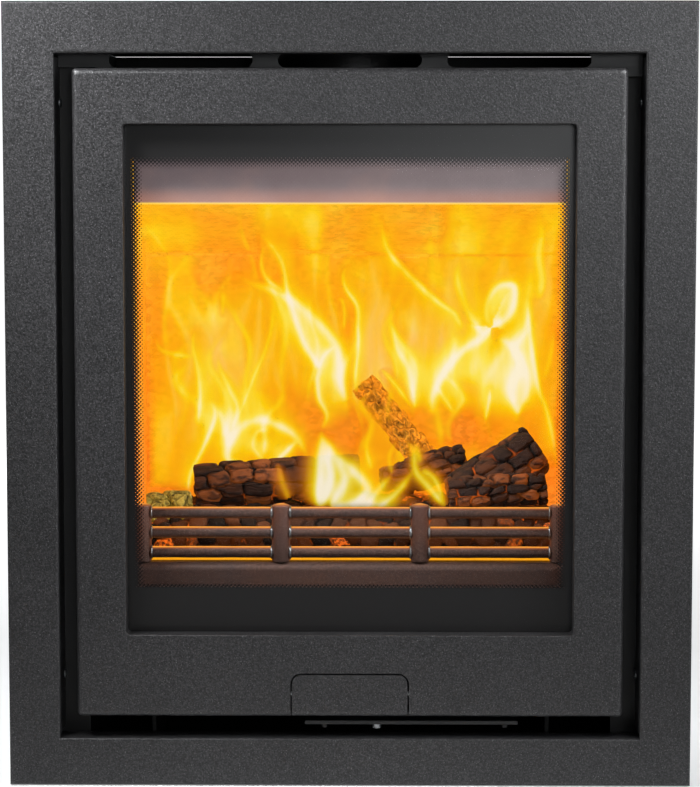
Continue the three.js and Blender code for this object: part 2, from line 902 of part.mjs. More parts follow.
function ports(z0, z1) {
  return spread(portCount, portPitch).map((x) => block(
    [x - portWidth / 2, x + portWidth / 2],
    [airMiddleY - portDepth / 2, airMiddleY + portDepth / 2],
    [z0, z1],
  ));
}

/** Open tray under the ash floor; its ports are opened and shut by the slide. */
function airBox() {
  const half = airBoxWidth / 2;
  const top = ashFloor - fireboxPlate - clearance;
  const shell = block([-half, half], airBoxY, [airBoxBottom, top]);
  const inside = block(
    [-half + airBoxSheet, half - airBoxSheet],
    [airBoxY[0] + airBoxSheet, airBoxY[1] - airBoxSheet],
    [airBoxBottom + airBoxSheet, top + airBoxSheet],
  );
  const cuts = ports(airBoxBottom - airBoxSheet, airBoxBottom + 2 * airBoxSheet);
  return cuts.reduce((left, cut) => left.subtract(cut), shell.subtract(inside));
}

/** Sliding air valve with the tongue that shows under the door. */
function airSlider() {
  const body = block([valveLeft, sliderRight], airBoxY, [sliderBottom, sliderTop]);
  const tongue = block(
    [sliderLeft, sliderRight],
    [sliderFront, airBoxY[0] + airBoxSheet],
    [sliderBottom, sliderTop],
  );
  const studs = [leftStud, rightStud].map((x) => hanging(studRadius, x));
  const cuts = ports(sliderBottom - sliderSheet, sliderTop + sliderSheet);
  const whole = studs.reduce((left, stud) => left.add(stud), body.add(tongue));
  return cuts.reduce((left, cut) => left.subtract(cut), whole);
}

function hanging(radius, x, gap = 0) {
  const y = sliderFront + studInset;
  return bar(
    radius,
    new THREE.Vector3(x, y, sliderBottom - gap - studDrop),
    new THREE.Vector3(x, y, sliderBottom - gap + (gap ? 0 : sliderSheet / 2)),
    16,
  );
}

part("cradle", cradle(), zincSheet);
part("air_box", airBox(), blackSteel);
part("air_slider", airSlider(), blackSteel);
part("air_slider_knob", hanging(knobRadius, knobPlace, clearance), boltSteel);

// ---------------------------------------------------------------- bricks, hearth and grate

const baffleRear = rearBrickFront - clearance;
const baffleFrontY = seatBack + baffleFront;

/** Height of the baffle's underside at a depth. */
function baffleUnderside(y) {
  const along = (y - baffleFrontY) / (baffleRear - baffleFrontY);
  return fireboxTop - baffleFrontDrop - along * (baffleRearDrop - baffleFrontDrop);
}

/** Side brick whose sloping top carries the baffle. */
function sideBrickSolid() {
  const front = seatBack + sideBrickFront;
  const bottom = hearthTop + clearance;
  const top = fireboxTop - sideBrickTopDrop;
  const step = baffleFrontY - throatStep;
  const outlinePoints = [
    [front, bottom],
    [baffleRear, bottom],
    [baffleRear, baffleUnderside(baffleRear) - clearance],
    [step, baffleUnderside(step) - clearance],
    [step, top],
    [front, top],
  ];
  const outerX = fireboxInner - clearance;
  return sideways(polygon(outlinePoints), [outerX - sideBrick, outerX]);
}

function baffle() {
  const half = fireboxInner - 2 * clearance;
  return sideways(polygon([
    [baffleFrontY, baffleUnderside(baffleFrontY)],
    [baffleRear, baffleUnderside(baffleRear)],
    [baffleRear, baffleUnderside(baffleRear) + baffleThickness],
    [baffleFrontY, baffleUnderside(baffleFrontY) + baffleThickness],
  ]), [-half, half]);
}

function rearBrickSolid(z0, z1) {
  const half = fireboxInner - clearance;
  return block([-half, half], [rearBrickFront, rearBrickFront + rearBrick], [z0, z1]);
}

const rightBrick = sideBrickSolid();
part("brick_right", rightBrick, fireBrick);
part("brick_left", rightBrick.mirror([1, 0, 0]), fireBrick);
part("brick_rear_lower", rearBrickSolid(
  hearthTop + clearance,
  fireboxTop - rearBrickSeamDrop,
), fireBrick);
part("brick_rear_upper", rearBrickSolid(
  fireboxTop - rearBrickSeamDrop + clearance,
  fireboxTop - rearBrickTopDrop,
), fireBrick);
part("baffle", baffle(), fireBrick);

const grateY = [seatBack + grateFront, rearBrickFront - grateRear];
const grateHalf = brickFace - grateSide;
const grateBottom = hearthTop + clearance;
const grateTop = grateBottom + grateThickness;
const guardMiddleY = seatBack + guardFront + guardBaseDepth / 2;
const dowelPlaces = [-guardDowelSpread, guardDowelSpread];

/** Plate that the bricks, grate and log guard stand on, open under the grate. */
function hearthPlateSolid() {
  const half = fireboxInner - clearance;
  const z = [hearthTop - hearthPlate, hearthTop];
  const plate = block([-half, half], [seatBack + clearance, backFront - clearance], z);
  const hole = block(
    [-grateHalf + grateRest, grateHalf - grateRest],
    [grateY[0] + grateRest, grateY[1] - grateRest],
    [z[0] - hearthPlate, z[1] + hearthPlate],
  );
  return dowelPlaces.reduce((left, x) => left.subtract(bar(
    guardDowelRadius + 2 * clearance,
    new THREE.Vector3(x, guardMiddleY, z[0] - hearthPlate),
    new THREE.Vector3(x, guardMiddleY, z[1] + hearthPlate),
  )), plate.subtract(hole));
}

/** Cast grate with a row of slots across it. */
function grate() {
  const slab = block([-grateHalf, grateHalf], grateY, [grateBottom, grateTop]);
  const pitch = (2 * (grateHalf - grateRim)) / grateBars;
  return spread(grateBars, pitch).reduce((left, x) => left.subtract(block(
    [x - grateSlot / 2, x + grateSlot / 2],
    [grateY[0] + grateRim, grateY[1] - grateRim],
    [grateBottom - grateThickness, grateTop + grateThickness],
  )), slab);
}

/** Folded tray with a lip along its front edge to pull it out by. */
function ashPan() {
  const half = fireboxInner - ashPanSide;
  const front = seatBack + ashPanFront;
  const y = [front, backFront - ashPanRear];
  const z = [ashFloor + clearance, ashFloor + clearance + ashPanHeight];
  const shell = block([-half, half], y, z);
  const inside = block(
    [-half + ashPanSheet, half - ashPanSheet],
    [y[0] + ashPanSheet, y[1] - ashPanSheet],
    [z[0] + ashPanSheet, z[1] + ashPanSheet],
  );
  const lip = block(
    [-half + ashPanLipInset, half - ashPanLipInset],
    [front - ashPanLip, front],
    [z[1] - ashPanSheet, z[1]],
  );
  return shell.subtract(inside).add(lip);
}

part("hearth_plate", hearthPlateSolid(), castIron);
part("grate", grate(), castIron);
part("ash_pan", ashPan(), zincSheet);

/** Bent plate that turns the airwash down over the glass. */
function airwashDeflector() {
  const front = seatBack + clearance;
  const kneeTop = seatOpening.z1;
  const path = [
    [front, kneeTop + deflectorFixing],
    [front, kneeTop],
    [front + deflectorBelly, kneeTop - deflectorKnee],
    [front + deflectorFoot, glazing.z1 - deflectorDrop],
  ];
  const half = fireboxInner - deflectorSide;
  return sideways(bentSheet(path, deflectorSheet), [-half, half]);
}

part("airwash_deflector", airwashDeflector(), heatSteel);

// ---------------------------------------------------------------- log guard

const guardHalf = brickFace - guardGap;
const guardBottom = hearthTop + clearance;
const guardTop = guardBottom + guardBaseHeight;
const postPlaces = spread(
  guardPostCount,
  (2 * (guardHalf - guardPostEndInset)) / (guardPostCount - 1),
);
const railHeights = Array.from(
  { length: guardRailCount },
  (_, i) => guardTop + guardRailFirst + i * guardRailPitch,
);

/** Bar with a round front top edge, and two dowels that drop into the hearth plate. */
function guardBase() {
  const front = seatBack + guardFront;
  const back = front + guardBaseDepth;
  const section = new THREE.Shape();
  section.moveTo(front, guardBottom);
  section.lineTo(back, guardBottom);
  section.lineTo(back, guardTop);
  section.lineTo(front + guardBaseRadius, guardTop);
  section.absarc(
    front + guardBaseRadius,
    guardTop - guardBaseRadius,
    guardBaseRadius,
    Math.PI / 2,
    Math.PI,
  );
  const beam = sideways(section, [-guardHalf, guardHalf]);
  return dowelPlaces.reduce((left, x) => left.add(bar(
    guardDowelRadius,
    new THREE.Vector3(x, guardMiddleY, guardBottom - guardDowelLength),
    new THREE.Vector3(x, guardMiddleY, guardBottom + guardDowelRadius),
    16,
  )), beam);
}

/** Turned post with a domed top, bored across for the rails. */
function guardPost(x) {
  const height = guardPostHeight;
  const radius = guardPostRadius;
  const foot = new THREE.Vector3(x, guardMiddleY, guardTop + clearance);
  const post = turned([
    [0, 0],
    [radius, 0],
    [radius, height - guardPostDome],
    [radius * 0.8, height - guardPostDome / 3],
    [0, height],
  ], foot);
  return railHeights.reduce((left, z) => left.subtract(bar(
    guardRailRadius + guardRailFit,
    new THREE.Vector3(x - 2 * radius, guardMiddleY, z),
    new THREE.Vector3(x + 2 * radius, guardMiddleY, z),
    12,
  )), post);
}

part("guard_base", guardBase(), castIron);
postPlaces.forEach((x, i) => part(`guard_post_${i + 1}`, guardPost(x), castIron));
railHeights.forEach((z, i) => part(`guard_rail_${i + 1}`, bar(
  guardRailRadius,
  new THREE.Vector3(-guardHalf, guardMiddleY, z),
  new THREE.Vector3(guardHalf, guardMiddleY, z),
  12,
), castIron));

// ---------------------------------------------------------------- door

const hingeSpans = hingeHeights.map((z) => [z + knuckleHeight + knuckleGap,
  z + 2 * knuckleHeight + knuckleGap]);

/** The door's plain slab, with its rounded front edge. */
function doorSlab(depth) {
  const loops = edgeRound(doorEdgeRadius).map(([inset, y]) => loop(
    grown(door, -inset),
    y,
    doorCornerRadius,
  ));
  return skin([...loops, loop(door, depth, doorCornerRadius)]);
}

/** Hat section round the window: outer wall, face and reveal, with the hinge knuckles. */
function doorFrame() {
  const inner = Math.max(doorCornerRadius - doorWall, 1);
  const shell = doorSlab(doorDepth).subtract(skin([
    loop(grown(door, -doorWall), doorFace, inner),
    loop(grown(door, -doorWall), doorDepth + 1, inner),
  ]));
  const reveal = skin([
    loop(grown(glazing, revealWall), doorFace / 2, windowCornerRadius),
    loop(grown(glazing, revealWall), revealDepth, windowCornerRadius),
  ]);
  const flare = edgeRound(windowEdgeRadius, 3).map(([inset, y]) => loop(
    grown(glazing, inset),
    y,
    windowCornerRadius,
  ));
  const window = skin([
    loop(grown(glazing, windowEdgeRadius), -1, windowCornerRadius),
    ...flare,
    loop(glazing, revealDepth + 1, windowCornerRadius),
  ]);
  const knuckles = hingeSpans.map((span) => doorKnuckle(span));
  const solid = knuckles.reduce((left, knuckle) => left.add(knuckle), shell.add(reveal));
  return solid.subtract(window).add(flapBosses()).subtract(flapRecess());
}

/** Hinge barrel on a strap that is welded inside the door's left wall. */
function doorKnuckle(span) {
  const barrel = bar(
    knuckleRadius,
    new THREE.Vector3(hingeX, hingeY, span[0]),
    new THREE.Vector3(hingeX, hingeY, span[1]),
  );
  const strap = block(
    [door.x0 + doorWall / 2, hingeX],
    [hingeY - knuckleRadius, hingeY - knuckleRadius + hingeStrap],
    span,
  );
  const bore = bar(
    hingeBoreRadius,
    new THREE.Vector3(hingeX, hingeY, span[0] - 1),
    new THREE.Vector3(hingeX, hingeY, span[1] + 1),
  );
  return barrel.add(strap).subtract(bore);
}

const pinHalf = flapWidth / 2 + flapGap + flapPinGrip;

/** Bosses behind the door's face that hold the two ends of the flap's pin. */
function flapBosses() {
  return [-1, 1].map((side) => {
    const inside = side * (flapWidth / 2 + flapGap);
    const outside = side * (pinHalf + flapBoss / 2);
    return block(
      [Math.min(inside, outside), Math.max(inside, outside)],
      [doorFace / 2, flapPivotDepth + flapBoss],
      [flapAxis - flapBoss, flapAxis + flapBoss],
    );
  }).reduce((left, right) => left.add(right));
}

function flapShape(gap) {
  const { x0, x1, z0, z1 } = flapOutline;
  const radius = flapCorner + gap;
  const shape = new THREE.Shape();
  shape.moveTo(x0 - gap, z0 - 2 * gap - 1);
  shape.lineTo(x1 + gap, z0 - 2 * gap - 1);
  shape.lineTo(x1 + gap, z1 + gap - radius);
  shape.absarc(x1 + gap - radius, z1 + gap - radius, radius, 0, Math.PI / 2);
  shape.absarc(x0 - gap + radius, z1 + gap - radius, radius, Math.PI / 2, Math.PI);
  return shape;
}

/** What is cut away for the flap, its pin and the latch hook. */
function flapRecess() {
  const face = facing(flapShape(flapGap), [-1, doorFace + clearance], 6);
  const pin = bar(
    flapPinRadius + clearance,
    new THREE.Vector3(-pinHalf - clearance, flapPivotDepth, flapAxis),
    new THREE.Vector3(pinHalf + clearance, flapPivotDepth, flapAxis),
    12,
  );
  const half = hookWidth / 2 + hookSlot;
  const slot = block(
    [-half, half],
    [0, doorDepth + 1],
    [flapBottom - 1, hookTipTop + keeperClear],
  );
  return face.add(pin).add(slot);
}

/** Flap that hangs on the pin, cut from the door's own rounded slab. */
function handleFlap() {
  const plate = doorSlab(doorDepth).intersect(facing(flapShape(0), [-1, flapThickness], 6));
  const knuckles = [-1, 1].map((side) => {
    const end = side * (flapWidth / 2);
    const start = side * (flapWidth / 2 - flapKnuckleLength);
    return bar(
      flapKnuckle,
      new THREE.Vector3(Math.min(start, end), flapPivotDepth, flapAxis),
      new THREE.Vector3(Math.max(start, end), flapPivotDepth, flapAxis),
      16,
    );
  });
  const bore = bar(
    flapPinRadius + flapPinFit,
    new THREE.Vector3(-flapWidth, flapPivotDepth, flapAxis),
    new THREE.Vector3(flapWidth, flapPivotDepth, flapAxis),
    12,
  );
  return knuckles.reduce((left, knuckle) => left.add(knuckle), plate).subtract(bore);
}

/** Hook screwed to the flap's back; its tip stands behind the keeper's lip. */
function latchHook() {
  const front = flapThickness + clearance;
  const armTop = hookBottom + hookSheet;
  return sideways(polygon([
    [front, hookBottom],
    [hookBack, hookBottom],
    [hookBack, hookTipTop],
    [hookBack - hookTipDepth, hookTipTop],
    [hookBack - hookTipDepth, armTop],
    [front + hookSheet, armTop],
    [front + hookSheet, hookBottom + hookLeg],
    [front, hookBottom + hookLeg],
  ]), [-hookWidth / 2, hookWidth / 2]);
}

/** Keeper on the seat plate: a shelf with a lip in front of the hook's tip, and two feet. */
function latchKeeper() {
  const bottom = hookTipTop + keeperClear;
  const back = seatFront - clearance;
  const front = hookBack - hookTipDepth - keeperClear - keeperSheet;
  const half = keeperWidth / 2;
  const shelfZ = [bottom + keeperLip, bottom + keeperLip + keeperSheet];
  const shelf = block([-half, half], [front, back], shelfZ);
  const lip = block([-half, half], [front, front + keeperSheet], [bottom, shelfZ[1]]);
  const feet = [-1, 1].map((side) => {
    const x = side * (half + keeperFoot / 2);
    return block(
      [x - keeperFoot / 2, x + keeperFoot / 2],
      [back - keeperSheet, back],
      [shelfZ[1] - keeperSheet - keeperFootDrop, shelfZ[1]],
    );
  });
  return feet.reduce((left, foot) => left.add(foot), shelf.add(lip));
}

/** Inner pan of the door; the rope seal sits on its back. */
function doorLiner() {
  const sheet = grown(door, -doorWall - linerGap);
  const edge = rectangle(sheet.x0, sheet.x1, door.z0 + linerBottomRise, sheet.z1);
  const shape = roundedShape(edge, linerCornerRadius);
  shape.holes.push(roundedShape(grown(glazing, glassOverlap + clearance), glassCornerRadius));
  const plate = facing(shape, [linerFront, linerBack]);
  const notchTo = hingeX + knuckleRadius + clearance;
  return hingeHeights.reduce((left, z) => left.subtract(block(
    [door.x0, notchTo],
    [0, frameProud],
    [z - hingeNotchMargin, z + 2 * knuckleHeight + knuckleGap + hingeNotchMargin],
  )), plate);
}

function glassPane() {
  const pane = grown(glazing, glassOverlap);
  return facing(roundedShape(pane, glassCornerRadius), [glassFront, glassBack]);
}

/** Flat tape between the reveal and the glass. */
function glassGasket() {
  const shape = roundedShape(grown(glazing, glassOverlap - gasketInset), glassCornerRadius);
  shape.holes.push(roundedShape(grown(glazing, gasketInset), windowCornerRadius));
  const front = revealDepth + clearance;
  return facing(shape, [front, front + gasketThickness]);
}

/** Angle frame that holds the glass from behind. */
function glassRetainer() {
  const inside = grown(glazing, glassOverlap + clearance);
  const outside = grown(inside, retainerSheet);
  const flange = roundedShape(outside, glassCornerRadius);
  flange.holes.push(roundedShape(grown(outside, -retainerFlange), windowCornerRadius));
  const web = roundedShape(outside, glassCornerRadius);
  web.holes.push(roundedShape(inside, glassCornerRadius - 1));
  const flangeFrom = glassBack + clearance;
  return facing(flange, [flangeFrom, flangeFrom + retainerSheet]).add(
    facing(web, [linerBack + clearance, flangeFrom + retainerSheet]),
  );
}

/** Rope seal: a round section carried round the seat with turned corners. */
function doorSeal() {
  const sides = 10;
  const radius = sealDiameter / 2;
  const rings = Array.from({ length: sides }, (_, i) => {
    const angle = (2 * Math.PI * i) / sides;
    const out = radius * Math.cos(angle);
    return loop(
      grown(sealPath, out),
      sealMiddle + radius * Math.sin(angle),
      seatCornerRadius + out,
    );
  });
  return skin(rings, true);
}

part("door_frame", doorFrame(), powderCoat);
part("door_liner", doorLiner(), blackSteel);
part("door_glass", glassPane(), darkGlass);
part("glass_gasket", glassGasket(), ropeFibre);
part("glass_retainer", glassRetainer(), blackSteel);
part("door_seal", doorSeal(), ropeFibre);
part("handle_flap", handleFlap(), powderCoat);
part("handle_pin", bar(
  flapPinRadius,
  new THREE.Vector3(-pinHalf, flapPivotDepth, flapAxis),
  new THREE.Vector3(pinHalf, flapPivotDepth, flapAxis),
  12,
), boltSteel);
part("latch_hook", latchHook(), boltSteel);
part("latch_keeper", latchKeeper(), boltSteel);

/** Hinge bracket on the seat plate, with the fixed pin that the door drops on to. */
function hingeBracket(z) {
  const span = [z, z + knuckleHeight];
  const barrel = bar(
    knuckleRadius,
    new THREE.Vector3(hingeX, hingeY, span[0]),
    new THREE.Vector3(hingeX, hingeY, span[1]),
  );
  const armRight = sealPath.x0 - sealDiameter / 2 - 2 * clearance;
  const arm = block([armRight - hingeArm, armRight], [hingeY, seatFront - clearance], span);
  const pin = bar(
    hingePinRadius,
    new THREE.Vector3(hingeX, hingeY, span[0]),
    new THREE.Vector3(hingeX, hingeY, span[1] + knuckleGap + knuckleHeight),
  );
  return barrel.add(arm).add(pin);
}

hingeHeights.forEach((z, i) => {
  part(`hinge_bracket_${i ? "upper" : "lower"}`, hingeBracket(z), boltSteel);
});

// ---------------------------------------------------------------- fuel

/** A split log: uneven rings from end to end, with one flatter side. */
function logSolid({ from, along, radius, flatness, phase }, grow = 0) {
  const length = along.length();
  const direction = along.clone().normalize();
  const turn = new THREE.Quaternion().setFromUnitVectors(Z, direction);
  const steps = 9;
  const rings = Array.from({ length: steps + 1 }, (_, level) => {
    const t = level / steps;
    const ends = 1 - 0.16 * Math.abs(2 * t - 1) ** 6;
    return Array.from({ length: fireSegments }, (_, i) => {
      const angle = (2 * Math.PI * i) / fireSegments;
      const uneven = 0.06 * Math.sin(3 * angle + phase) + 0.05 * Math.sin(5 * angle + 7 * t);
      const knots = 0.05 * Math.sin(9 * t + 2 * angle + phase);
      const flat = 1 - flatness * Math.max(0, Math.cos(angle - phase)) ** 2;
      const reach = radius * ends * flat * (1 + uneven + knots) + grow;
      return new THREE.Vector3(reach * Math.cos(angle), reach * Math.sin(angle), 0)
        .applyQuaternion(turn)
        .addScaledVector(direction, t * length + (2 * t - 1) * grow)
        .add(from);
    });
  });
  return skin(rings);
}

const bedTop = grateTop + clearance;
const fuel = [
  {
    name: "log_left",
    from: new THREE.Vector3(
      -brickFace + leftLogInset,
      seatBack + leftLogSetback,
      bedTop + leftLogRise,
    ),
    along: new THREE.Vector3(leftLogLength, leftLogSkew, leftLogTilt),
    radius: leftLogRadius,
    flatness: 0.28,
    phase: 0.9,
    material: charredWood,
  },
  {
    name: "log_end",
    from: new THREE.Vector3(
      -brickFace + endLogInset,
      seatBack + endLogSetback,
      bedTop + endLogRise,
    ),
    along: new THREE.Vector3(endLogLength, endLogSkew, endLogTilt),
    radius: endLogRadius,
    flatness: 0.1,
    phase: 2.1,
    material: barkWood,
  },
  {
    name: "log_right",
    from: new THREE.Vector3(
      brickFace - rightLogInset - rightLogLength,
      seatBack + rightLogSetback,
      bedTop + rightLogRise,
    ),
    along: new THREE.Vector3(rightLogLength, rightLogSkew, rightLogTilt),
    radius: rightLogRadius,
    flatness: 0.3,
    phase: 1.4,
    material: charredWood,
  },
];

/** Heap of coals on the grate: a low mound with ripples, hollowed where logs lie in it. */
function emberBed() {
  const width = 2 * (brickFace - emberSide);
  const rows = Array.from({ length: emberRows + 1 }, (_, r) => {
    const v = r / emberRows;
    return Array.from({ length: emberColumns + 1 }, (_, c) => {
      const u = c / emberColumns;
      const crown = 1 - Math.abs(2 * u - 1) ** 6 * 0.3;
      const slope = Math.sin(Math.PI * Math.min(Math.max(v, 0.06), 0.94)) ** 0.3;
      const ripple = emberRipple * Math.sin(19 * u + 5 * v) * Math.cos(13 * v + 4 * u);
      const height = emberHeight * crown * slope + ripple * slope;
      return new THREE.Vector3(
        (u - 0.5) * width,
        grateY[0] + v * (grateY[1] - grateY[0]),
        bedTop + Math.max(height, 3),
      );
    });
  });
  const rim = (row) => [
    ...row,
    ...[...row].reverse().map((point) => point.clone().setZ(bedTop)),
  ];
  const heap = skin(rows.map(rim));
  return fuel.reduce((left, log) => left.subtract(logSolid(log, clearance)), heap);
}

part("ember_bed", emberBed(), glowingCoal);
for (const log of fuel) part(log.name, logSolid(log), log.material);

stove.position.y = -overallDepth / 2;
stove.updateMatrixWorld(true);

export default stove;
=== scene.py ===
"""The looks of an inset wood-burning stove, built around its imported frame.

The metalwork keeps the frame's own shapes, with welded copies whose edges are rolled over;
the log guard, flue, rope seal, fuel and flames are surfaces worked out with numpy.
Everything is in metres, +X right, +Z up, with the stove's face towards -Y.
"""
import json
import math

import bmesh
import bpy
import numpy as np
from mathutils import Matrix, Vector


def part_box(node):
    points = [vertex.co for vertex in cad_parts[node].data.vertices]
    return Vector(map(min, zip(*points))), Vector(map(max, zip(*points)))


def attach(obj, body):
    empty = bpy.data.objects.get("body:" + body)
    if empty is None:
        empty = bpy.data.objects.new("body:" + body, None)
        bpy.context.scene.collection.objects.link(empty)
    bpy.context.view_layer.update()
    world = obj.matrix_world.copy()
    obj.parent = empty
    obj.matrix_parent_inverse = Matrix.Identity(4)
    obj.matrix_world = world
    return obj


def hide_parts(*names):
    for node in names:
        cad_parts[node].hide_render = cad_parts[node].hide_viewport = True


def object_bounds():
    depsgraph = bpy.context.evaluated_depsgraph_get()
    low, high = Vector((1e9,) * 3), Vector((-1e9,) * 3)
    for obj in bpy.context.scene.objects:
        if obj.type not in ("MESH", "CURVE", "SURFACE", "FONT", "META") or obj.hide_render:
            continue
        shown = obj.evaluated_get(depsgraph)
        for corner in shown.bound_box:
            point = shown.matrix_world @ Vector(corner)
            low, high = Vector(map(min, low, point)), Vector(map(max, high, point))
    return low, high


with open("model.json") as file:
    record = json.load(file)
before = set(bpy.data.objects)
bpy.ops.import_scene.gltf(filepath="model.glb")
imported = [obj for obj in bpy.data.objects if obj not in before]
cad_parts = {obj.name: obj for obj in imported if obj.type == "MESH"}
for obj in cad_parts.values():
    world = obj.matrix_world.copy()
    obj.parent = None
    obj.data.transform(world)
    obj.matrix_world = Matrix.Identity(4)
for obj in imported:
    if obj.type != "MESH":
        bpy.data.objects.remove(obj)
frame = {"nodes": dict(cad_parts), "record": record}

bl_info = {
    "name": "Inset stove looks",
    "version": (1, 0, 0),
    "blender": (4, 5, 0),
    "location": "View3D > Sidebar > Stove",
    "description": "Dresses the packed inset stove with its finishes, fuel and flames",
    "category": "Object",
}

CAD_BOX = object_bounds()
MM = 0.001
WELD = 1e-6
SHARP = math.radians(30)
FLAT = math.radians(0.2)


# ------------------------------------------------------------------ settings

def length(name, description, default, low=0.0, high=1.0):
    """A size in metres for a property group."""
    return bpy.props.FloatProperty(
        name=name,
        description=description,
        default=default,
        min=low,
        max=high,
        precision=5,
        unit="LENGTH",
    )


def share(name, description, default, low=0.0, high=1.0):
    """A plain number for a property group."""
    return bpy.props.FloatProperty(
        name=name,
        description=description,
        default=default,
        min=low,
        max=high,
    )


def colour(name, description, default):
    """A linear colour for a property group."""
    return bpy.props.FloatVectorProperty(
        name=name,
        description=description,
        default=default,
        min=0.0,
        max=1.0,
        size=3,
        subtype="COLOR",
    )


class StoveSizes(bpy.types.PropertyGroup):
    """Sizes of the details that the finishes and modelled surfaces add."""

    edge_roll: length("Edge roll", "Radius rolled over the edges of cut and folded sheet", 0.0004)
    dot_pitch: length("Dot pitch", "Distance between dots of the glass border, along a row", 0.003)
    border_side: length("Side border", "Solid border at the sides, from the window's edge", 0.0035)
    border_top: length("Top border", "Solid border at the top, from the window's edge", 0.0235)
    border_bottom: length("Bottom border", "Solid border at the bottom", 0.0318)
    border_fade: length("Border fade", "Width over which the border's dots shrink away", 0.0095)
    border_fade_bottom: length("Bottom fade", "The same width at the bottom", 0.0045)
    rope_turn: length("Rope turn", "Length of one turn of the seal's braid", 0.014)
    block_size: length("Char block", "Length of the blocks that charred wood cracks into", 0.021)
    coal_size: length("Coal", "Distance between the middles of neighbouring coals", 0.0125)
    rivet_head: length("Rivet head", "Radius of the rivet heads on the casing", 0.0035)
    rivet_pitch: length("Rivet pitch", "Greatest distance between neighbouring rivets", 0.095)


class StoveColours(bpy.types.PropertyGroup):
    """Colours of the stove's finishes, as linear values."""

    powder: colour("Powder coat", "Anthracite coat of the surround and door", (0.0155, 0.0150, 0.0156))
    black: colour("Black steel", "Satin black of the parts behind the door", (0.012, 0.012, 0.0125))
    zinc: colour("Zinc", "Galvanised sheet of the casing", (0.42, 0.44, 0.46))
    heated: colour("Heated steel", "Firebox steel that the fire has browned", (0.13, 0.105, 0.105))
    iron: colour("Cast iron", "Log guard, grate and flue collar", (0.080, 0.044, 0.033))
    brick: colour("Fire brick", "Moulded lining boards", (0.34, 0.19, 0.06))
    enamel: colour("Enamel", "Printed border of the glass", (0.010, 0.0095, 0.0095))
    rope: colour("Rope", "Glass-fibre rope seal", (0.045, 0.043, 0.041))
    bolt: colour("Bolt steel", "Plated hinges, latch, screws and feet", (0.26, 0.27, 0.28))
    char: colour("Char", "Burnt wood", (0.020, 0.010, 0.007))
    bark: colour("Bark", "Mossy log that has just been laid on", (0.17, 0.13, 0.03))
    split: colour("Split wood", "Face of the stick that leans in the flames", (0.42, 0.19, 0.022))
    ember: colour("Ember", "Light of the coals", (1.0, 0.16, 0.008))
    flame: colour("Flame", "Body of the flames", (1.0, 0.66, 0.004))


class StoveStudio(bpy.types.PropertyGroup):
    """Where the camera stands and how strong the lamps are."""

    camera_place: bpy.props.FloatVectorProperty(
        name="Camera place",
        description="Where the camera stands, on the photograph's line of sight",
        default=(0.0225, -2.1623, 0.4927),
        size=3,
        unit="LENGTH",
    )
    camera_down: share("Camera down", "How far the camera looks down, in degrees", 5.516, 0, 90)
    camera_left: share("Camera left", "How far the camera looks left, in degrees", 0.631, -90, 90)
    camera_lens: share("Lens", "Focal length for a sensor of 36 mm on the long side", 124.49, 1, 500)
    top_lamp: share("Top lamp", "Power of the soft lamps over the stove, in watts", 2.1, 0, 500)
    side_lamp: share("Side lamp", "Power of the soft lamps beside the stove, in watts", 0.6, 0, 500)
    front_lamp: share("Front lamp", "Power of the soft lamp behind the camera, in watts", 0.85, 0, 500)
    back_lamp: share("Back lamp", "Power of the soft lamp behind the stove, in watts", 22.0, 0, 500)
    world: share("World", "Strength of the light from all round", 0.05, 0, 5)


GROUPS = {
    "stove_sizes": StoveSizes,
    "stove_colours": StoveColours,
    "stove_studio": StoveStudio,
}


def sizes():
    """The sizes that are set in the sidebar."""
    return bpy.context.scene.stove_sizes


def colours():
    """The colours that are set in the sidebar."""
    return bpy.context.scene.stove_colours


# ------------------------------------------------------------------ meshes

def span(node):
    """Lowest and highest corner of a CAD node, as two arrays."""
    low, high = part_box(node)
    return np.array(low), np.array(high)


def grid_faces(rows, columns, ring_rows=False, ring_columns=False):
    """Quads between neighbouring rows and columns of a grid of points."""
    index = np.arange(rows * columns).reshape(rows, columns)
    if ring_rows:
        index = np.vstack([index, index[:1]])
    if ring_columns:
        index = np.hstack([index, index[:, :1]])
    corners = [index[:-1, :-1], index[:-1, 1:], index[1:, 1:], index[1:, :-1]]
    return np.stack(corners, -1).reshape(-1, 4)


def volume(points, faces):
    """Volume inside a closed surface: the sum of each face's fan of corners with the origin."""
    first = points[faces[:, 0]]
    total = 0.0
    for i in range(1, faces.shape[1] - 1):
        fan = np.cross(points[faces[:, i]], points[faces[:, i + 1]])
        total += np.einsum("ij,ij->", first, fan)
    return total / 6


def closed_tube(rings, start, end):
    """A tube through rings of points (rows, columns, 3), closed by a fan to a pole at each end."""
    rows, columns, _ = rings.shape
    points = np.vstack([rings.reshape(-1, 3), start, end])
    quads = grid_faces(rows, columns, ring_columns=True)
    around = np.arange(columns)
    after = (around + 1) % columns
    base = (rows - 1) * columns
    first = np.stack([after, around, np.full(columns, rows * columns)], -1)
    last = np.stack([base + around, base + after, np.full(columns, rows * columns + 1)], -1)
    return points, [quads, first, last]


def joined(solids):
    """Several closed surfaces as one list of points and faces."""
    points = []
    faces = []
    count = 0
    for solid_points, solid_faces in solids:
        points.append(solid_points)
        faces.extend(group + count for group in solid_faces)
        count += len(solid_points)
    return np.vstack(points), faces


def piece_from(name, solid, finish, body, replaces=(), attributes=None, smooth=True):
    """Makes a piece from points and groups of faces, turned so that its faces look outwards."""
    points, groups = solid
    if sum(volume(points, group) for group in groups) < 0:
        groups = [group[:, ::-1] for group in groups]
    mesh = bpy.data.meshes.new(name)
    mesh.from_pydata(points.tolist(), [], [face for group in groups for face in group.tolist()])
    for key, values in (attributes or {}).items():
        layer = mesh.attributes.new(key, "FLOAT", "POINT")
        layer.data.foreach_set("value", values.astype(np.float32).ravel())
    if smooth:
        mesh.shade_smooth()
        mesh.set_sharp_from_angle(angle=math.radians(50))
    return placed(name, mesh, finish, body, replaces)


